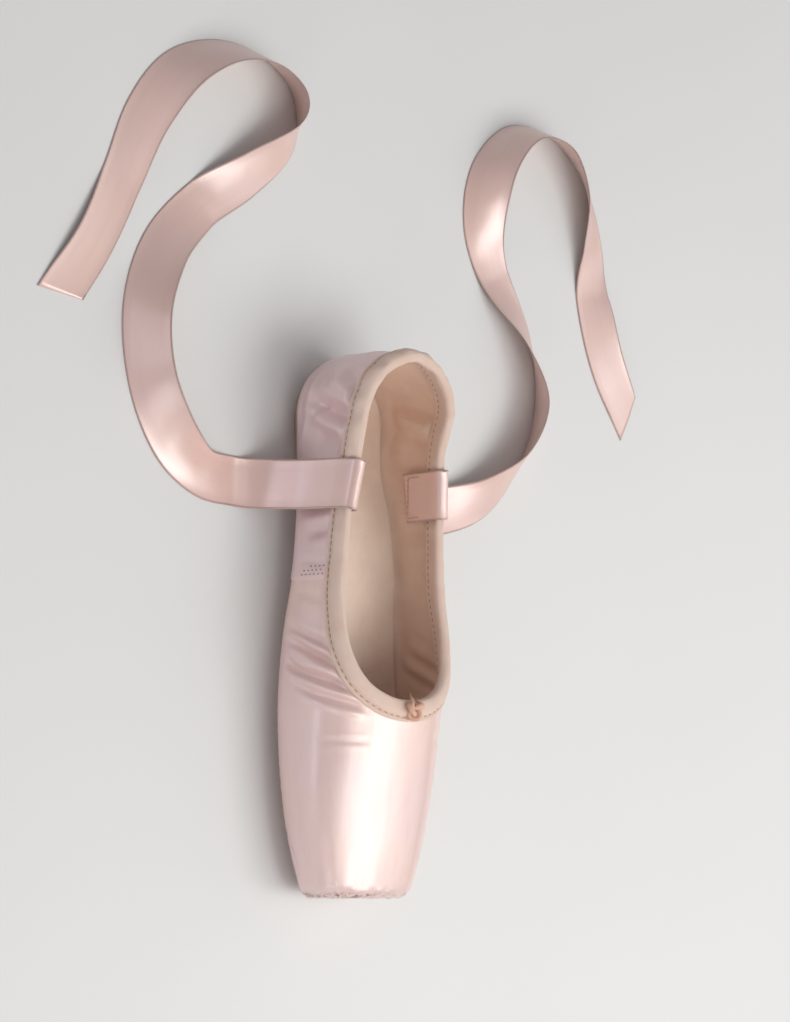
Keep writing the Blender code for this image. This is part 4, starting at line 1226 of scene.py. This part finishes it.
def make_binding(band):
    """A cotton tape folded over the topline round its drawstring, a little puckered."""
    outside = TAPE_LIP + TAPE_GROOVE + TAPE_CHANNEL
    station = LENGTH / 2 - band.edge[:, 0]
    wall = wall_at(station, 1.0, 0.0)[:, None]
    rise = band.rise(band.place)
    from_ribbon = np.abs(station - RIBBON_STATION) - RIBBON_WIDTH / 2
    pressed = ease((PRESS_EASE - from_ribbon) / PRESS_EASE)
    pucker = PUCKER + HEEL_PUCKER * ease((station - 0.12) / 0.08)
    swell = pucker * soft_noise(band.edge, 31, 0.0085, 30)
    columns = []

    def add(depth, height, side):
        point, normal = band.spot(band.place, depth)
        columns.append(point + side * normal * (height if side > 0 else wall + height))

    def add_face(rows, side):
        for depth, height in rows:
            puckered = 1 + swell / BINDING_WALL * (height > PUCKERED_ABOVE)
            full = height * puckered * (1 - PRESS_SHARE * pressed)
            add(depth, (BED_GAP + full)[:, None], side)

    def add_bed(rows, side):
        for depth, _ in rows[::-1]:
            add(min(depth, TAPE_BED_END), TAPE_BED_SHARE * BED_GAP, side)

    add_face(outside, 1)
    top, normal = band.spot(band.place, 0.0)
    half = wall / 2 + BED_GAP + CREST_OUT
    height = (CREST_HEIGHT + 0.6 * swell - PRESS_DEPTH * pressed)[:, None]
    for angle in np.radians(CREST_ANGLES):
        middle = top - normal * wall / 2
        columns.append(middle + normal * half * math.cos(angle) + rise * height * math.sin(angle))
    add_face(TAPE_INSIDE, -1)
    add_bed(TAPE_INSIDE, -1)
    inner_normal = band.spot(band.place, TAPE_INSIDE[0][0])[1]
    columns.append(top - inner_normal * wall / 2 + rise * CREST_BED)
    add_bed(outside, 1)
    rings = np.stack(columns, axis=1)
    steps = np.linalg.norm(np.diff(rings, axis=1, append=rings[:, :1]), axis=2).mean(axis=0)
    v = np.concatenate([[0], np.cumsum(steps)[:-1]])
    uv = np.stack(np.broadcast_arrays(band.run[:, None], v[None, :]), axis=-1)
    tape = grid_object("cotton_binding", rings, [binding_finish()], uv=uv)
    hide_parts("binding")


def make_binding_stitches(band):
    """Dashes of darker thread in the groove of the binding, outside and inside."""
    reach = DASH_LENGTH / band.length * WHOLE_TRIP
    parts = []
    for side, depth, first in DASHES:
        for place in band.places(DASH_PITCH, first):
            (start, end), (normal, _) = band.spot(np.array([place, place + reach]), depth)
            wall = float(wall_at(LENGTH / 2 - start[0], 1.0, 0.0)) if side < 0 else 0.0
            lift = side * normal * (wall + BED_GAP + DASH_LIFT)
            parts.append(stitch(start + lift, end + lift, side * normal, DASH_RADIUS))
    thread = many("binding_stitches", parts, thread_finish("stitch_thread"))


def make_knot(band):
    """The drawstring's knot on the binding at the throat, with two short frayed ends."""
    spot, normal = band.spot(WHOLE_TRIP / 2, KNOT_DROP)
    up = band.rise(WHOLE_TRIP / 2)
    across = np.array([0.0, 1.0, 0.0])

    def at(x, y, z):
        return spot + across * x + up * y + normal * (BED_GAP + KNOT_LIFT + z)

    def loop(angle):
        x = 0.36 * (math.sin(angle) + 2 * math.sin(2 * angle))
        y = 0.30 * (math.cos(angle) - 2 * math.cos(2 * angle))
        z = -0.34 * math.sin(3 * angle)
        return at(KNOT_REACH * x, KNOT_REACH * y, KNOT_REACH * z)

    rounds = [loop(angle) for angle in np.linspace(0, 2 * math.pi, 64, endpoint=False)]
    parts = [tube(rounds + rounds[:2], KNOT_CORD_RADIUS, 12)]
    draw = np.random.default_rng(11)
    for side, length, bend in KNOT_TAILS:
        out = side * KNOT_REACH
        tail = smooth_line([
            at(0.25 * out, 0.0008, 0.0002),
            at(0.75 * out, 0.0020, 0.0009),
            at(0.90 * out + bend, 0.0034, 0.0004),
            at(0.70 * out + bend, 0.0010 + 0.6 * length, -0.0012),
        ], 6)
        parts.append(tube(tail, KNOT_TAIL_RADIUS, 8))
        way = unit(tail[-1] - tail[-3])
        for _ in range(KNOT_FRAYS):
            lean = way * draw.uniform(0.0012, 0.0028) + draw.normal(size=3) * 0.0005
            start = tail[-1] + draw.normal(size=3) * 0.0003
            curl = draw.normal(size=3) * 0.0003
            parts.append(tube([start, start + lean * 0.5 + curl, start + lean], 0.00008, 4))
    knot = many("drawstring_knot_cord", parts, thread_finish("drawstring"))
    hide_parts("drawstring_knot")


def make_seam_stitches(band):
    """Short rows of tiny stitches just behind each side seam, from the binding down."""
    parts = []
    depths = BINDING_DEPTH + SEAM_STITCH_START + SEAM_STITCH_PITCH * np.arange(SEAM_STITCHES)
    for side in (-1, 1):
        for row in range(SEAM_STITCH_ROWS):
            behind = SEAM_STITCH_START + SEAM_ROW_GAP * row
            lap = SEAM_STEP * (1 - behind / SEAM_FADE)
            place = place_at(side, SEAM_STATION + behind)
            for depth in depths[:SEAM_STITCHES - row] + SEAM_STITCH_PITCH / 2 * (row % 2):
                ends, (normal, _) = band.spot(place, np.array([depth, depth + SEAM_STITCH_LENGTH]))
                parts.append(stitch(*(ends + normal * lap), normal, SEAM_THREAD_RADIUS))
    thread = many("side_seam_stitches", parts, thread_finish("seam_thread"))


def make_tip_fray():
    """Loose satin threads round the rim of the platform, most of them low on the inner side."""
    draw = np.random.default_rng(17)
    parts = []
    for _ in range(TIP_FRAYS):
        turn = draw.normal(-125, 38) if draw.uniform() < 0.7 else draw.uniform(-180, 180)
        station = draw.uniform(0.0004, 0.0024)
        spots = ((station, turn), (station + 0.0004, turn), (station, turn + 1))
        root, ahead, beside = skin_points(spots)
        back, round_rim = unit(ahead - root), unit(beside - root)
        out = np.cross(back, round_rim)
        out *= np.sign(out[0]) if abs(out[0]) > 0.05 else 1
        lean = round_rim * draw.choice((-1, 1)) * draw.uniform(0.4, 1.0)
        lean -= back * draw.uniform(0.0, 0.7)
        length = draw.uniform(0.0008, 0.0026)
        middle = root + unit(lean) * length / 2 + out * draw.uniform(0.0001, 0.0004)
        tip = root + unit(lean + draw.normal(size=3) * 0.25) * length
        tip += out * draw.uniform(-0.0001, 0.0006)
        line = np.array([root - out * 0.00005, middle, tip])
        line[:, 2] = np.maximum(line[:, 2], 0.0002)
        parts.append(tube(line, (0.00008, 0.00007, 0.00004), 4))
    fray = many("frayed_threads", parts, thread_finish("frayed_satin"))


def make_outsole():
    """The leather sole: rounded edge, scored channel along it and small hollows worn underneath."""
    start, end = OUTSOLE_START, LENGTH - OUTSOLE_HEEL_INSET
    turn = np.linspace(0, math.pi / 2, 22)
    toe = start + OUTSOLE_TOE_ROUND * (1 - np.cos(turn))
    heel = end - OUTSOLE_HEEL_ROUND * (1 - np.cos(turn[::-1]))
    stations = np.concatenate([toe, np.linspace(toe[-1], heel[0], 100)[1:-1], heel])
    top = np.linspace(-1, 1, SOLE_TOP_COLUMNS)
    below = np.sin(np.linspace(1, -1, SOLE_BELOW_COLUMNS) * math.pi / 2)
    edge = np.linspace(math.pi / 2, 0, 6)[1:-1]
    rings = []
    for station in stations:
        half = float(outsole_half(station)) + 0.0001
        low = float(ARCH_RISE * arch_share(station))
        round_off = min(SOLE_EDGE_ROUND, 0.45 * half)
        y = below * (half - round_off)
        inward = np.minimum(half - np.abs(y), min(station - start, end - station) + 0.0012)
        channel = SOLE_CHANNEL_DEPTH * np.exp(-((inward - SOLE_CHANNEL_INSET) / SOLE_CHANNEL_HALF) ** 2)
        wear = uneven(np.stack(np.broadcast_arrays(station, y, low), axis=1), SOLE_WEAR)
        z = low + channel + np.clip(wear, 0, None)
        side_y = half - round_off * (1 - np.sin(edge))
        side_z = low + round_off * (1 - np.cos(edge))
        top_z = underside(station, top * half) - BED_GAP
        y = np.concatenate([top * half, side_y, y, -side_y[::-1]])
        z = np.concatenate([top_z, side_z, z, side_z[::-1]])
        rings.append(world(np.stack(np.broadcast_arrays(station, y, z), axis=1)))
    sole = grid_object("leather_outsole", np.array(rings), [leather_finish()], capped=True)
    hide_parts("outsole")


def route(rows, close_rows, step):
    """A smooth curve through the rows: closely spaced at its start, then by even steps."""
    parts = 12
    line = smooth_line(rows, parts)
    run = run_along(line[:, :3])
    turn = parts * close_rows
    count = int(round((run[-1] - run[turn]) / step))
    wanted = np.concatenate([run[:turn], np.linspace(run[turn], run[-1], count + 1)])
    return np.stack([np.interp(wanted, run, column) for column in line.T], axis=1)


def ribbon_rows(band, side, floor_rows):
    """Rows of place and width direction: from the sewn tab over the binding, then down to the floor.

    The tab's first two spots and its inward normal come along.
    """
    half = RIBBON_WIDTH / 2
    places = place_at(side, [RIBBON_STATION + half, RIBBON_STATION, RIBBON_STATION - half])
    drops = np.array([RIBBON_TAB, BINDING_DEPTH, 0.0])
    points, normals = band.spot(places[:, None], drops[None, :])
    bow = np.linalg.norm(points[1, 2] - (points[0, 2] + points[2, 2]) / 2)
    wall = float(wall_at(RIBBON_STATION, 1.0, 0.0))
    clear = BED_GAP + BINDING_WALL + GAP + RIBBON_THICKNESS / 2 + bow
    along = side * unit(points[2, 2] - points[0, 2])
    spot, out = points[1], normals[1]
    up = unit(np.cross(out[2], along))
    up *= math.copysign(1, up[2])
    fold = up * (GAP + BINDING_WALL)
    inside = [spot[0] - out[0] * (wall + clear), spot[1] - out[1] * (wall + clear)]
    inside.append(spot[2] - out[2] * (wall + clear) + fold)
    crest = spot[2] - out[2] * wall / 2 + up * (clear + 2 * RIBBON_THICKNESS)
    outside = [spot[2] + out[2] * clear + fold, spot[1] + out[1] * (clear + 2 * RIBBON_THICKNESS)]
    start = outside[-1]
    land = np.array([floor_rows[0][0], floor_rows[0][1], 0.0])
    hang = np.array([start[0], start[1] + side * HANG_SWING * start[2], HANG_HEIGHT * start[2]])
    bend_y = start[1] + BEND_REACH * (land[1] - start[1])
    bend = np.array([(start[0] + land[0]) / 2, bend_y, BEND_HEIGHT * start[2]])
    rows = [np.concatenate([place, along]) for place in (*inside, crest, *outside, hang, bend)]
    plan = np.array([row[:2] for row in floor_rows])
    ahead = np.gradient(np.concatenate([[bend[:2]], plan]), axis=0)[1:]
    for (x, y, turn), run in zip(floor_rows, ahead):
        run = unit(np.array([run[0], run[1], 0.0]))
        level = np.cross(run, np.array([0.0, 0.0, 1.0]))
        angle = math.radians(turn)
        lift = RIBBON_THICKNESS + half * abs(math.sin(angle))
        rows.append(np.concatenate([(x, y, lift), level * math.cos(angle) + [0, 0, math.sin(angle)]]))
    return rows, (inside[0], inside[1], along, -out[0])


def tab_stitches(low_end, high_end, along, inward):
    """Stitches along the three sides of a sewn tab that lie inside the quarter."""
    rise = unit(high_end - low_end)
    wide = RIBBON_WIDTH - 2 * TAB_EDGE
    tall = np.linalg.norm(high_end - low_end) - 2 * TAB_EDGE
    corner = low_end + rise * TAB_EDGE + inward * (RIBBON_THICKNESS / 2 + 0.0001)
    left, right = (corner + side * along * wide / 2 for side in (-1, 1))
    parts = []
    for start, way, reach in ((left, along, wide), (left, rise, tall), (right, rise, tall)):
        for step in np.arange(TAB_STITCH_START, reach - TAB_STITCH_LENGTH, TAB_PITCH):
            spot = start + way * step
            end = spot + way * TAB_STITCH_LENGTH
            parts.append(stitch(spot, end, inward, TAB_THREAD_RADIUS, TAB_THREAD_ARCH))
    return parts


def lay_down(rings, spots, run):
    """Let a ribbon down onto the floor from where it has come near it, without a kink."""
    low = rings[:, :, 2].min(axis=1)
    landed = run[np.argmax(low < LANDED_BELOW)]
    drop = (low - FLOOR_CLEARANCE) * ease((run - landed) / LANDING_LENGTH + 0.5)
    blur = np.hanning(LANDING_BLUR)
    drop = np.convolve(np.pad(drop, LANDING_BLUR // 2, mode="edge"), blur / blur.sum(), mode="valid")
    drop = np.minimum(drop, low - FLOOR_CLEARANCE)
    rings[:, :, 2] -= drop[:, None]
    spots[:, 2] -= drop


def make_ribbon(band, name, node, side, floor_rows, finish, seed):
    """A strip of satin with woven edges, from its tab inside the quarter to its slanted cut end."""
    rows, tab = ribbon_rows(band, side, floor_rows)
    line = route(rows, RIBBON_UPRIGHT_ROWS, RIBBON_STEP)
    spots, across = line[:, :3], line[:, 3:]
    run = run_along(spots)
    ahead = unit(np.gradient(spots, axis=0))
    across = unit(across - ahead * np.sum(across * ahead, axis=1)[:, None])
    deep = np.cross(across, ahead)
    reach_down = np.abs(across[:, 2]) * RIBBON_WIDTH / 2 + np.abs(deep[:, 2]) * RIBBON_THICKNESS / 2
    spots[:, 2] = np.maximum(spots[:, 2], reach_down + GAP)
    half = RIBBON_WIDTH / 2
    loose = ease((run - 0.05) / 0.05)
    draw = np.random.default_rng(seed)
    waves = sum(np.sin(run / draw.uniform(0.006, 0.016) + draw.uniform(0, 6)) for _ in range(5)) / 5
    cup = 0.0005 * loose * np.sin(run / 0.031 + seed)
    slant = ease((run - run[-1] + 0.010) / 0.010)[:, None] * RIBBON_CUT_SLANT
    section = [(-share, thick) for share, thick in RIBBON_SECTION[:0:-1]] + list(RIBBON_SECTION)
    rings, v = [], []
    for sign in (1, -1):
        for share, thick in section[::sign]:
            lift = cup * (share ** 2 - 0.4) + 0.00022 * loose * waves * share
            lift += sign * thick * RIBBON_THICKNESS / 2
            spot = spots + across * half * share + deep * lift[:, None]
            rings.append(spot + ahead * slant * half * share)
            v.append(half * (1 + share) + (RIBBON_THICKNESS if sign < 0 else 0))
    rings = np.stack(rings, axis=1)
    lay_down(rings, spots, run)
    uv = np.stack(np.broadcast_arrays(run[:, None], np.array(v)[None, :]), axis=-1)
    ribbon = grid_object(name, rings, [finish], capped=True, uv=uv)
    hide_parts(node)
    return tab_stitches(*tab)


make_camera()
make_studio()
skin = Skin(fine_places())
band = Band(skin)
satin = ribbon_finish()
sewn = make_ribbon(band, "inner_ribbon", "ribbon_medial", -1, MEDIAL_RIBBON, satin, 4)
sewn += make_ribbon(band, "outer_ribbon", "ribbon_lateral", 1, LATERAL_RIBBON, satin, 7)
sewing = many("ribbon_stitches", sewn, thread_finish("ribbon_thread"))
make_upper(skin)
make_binding(band)
make_binding_stitches(band)
make_knot(band)
make_seam_stitches(band)
make_tip_fray()
make_outsole()
frame["nodes"]["insole"].data.materials[0] = canvas_finish()
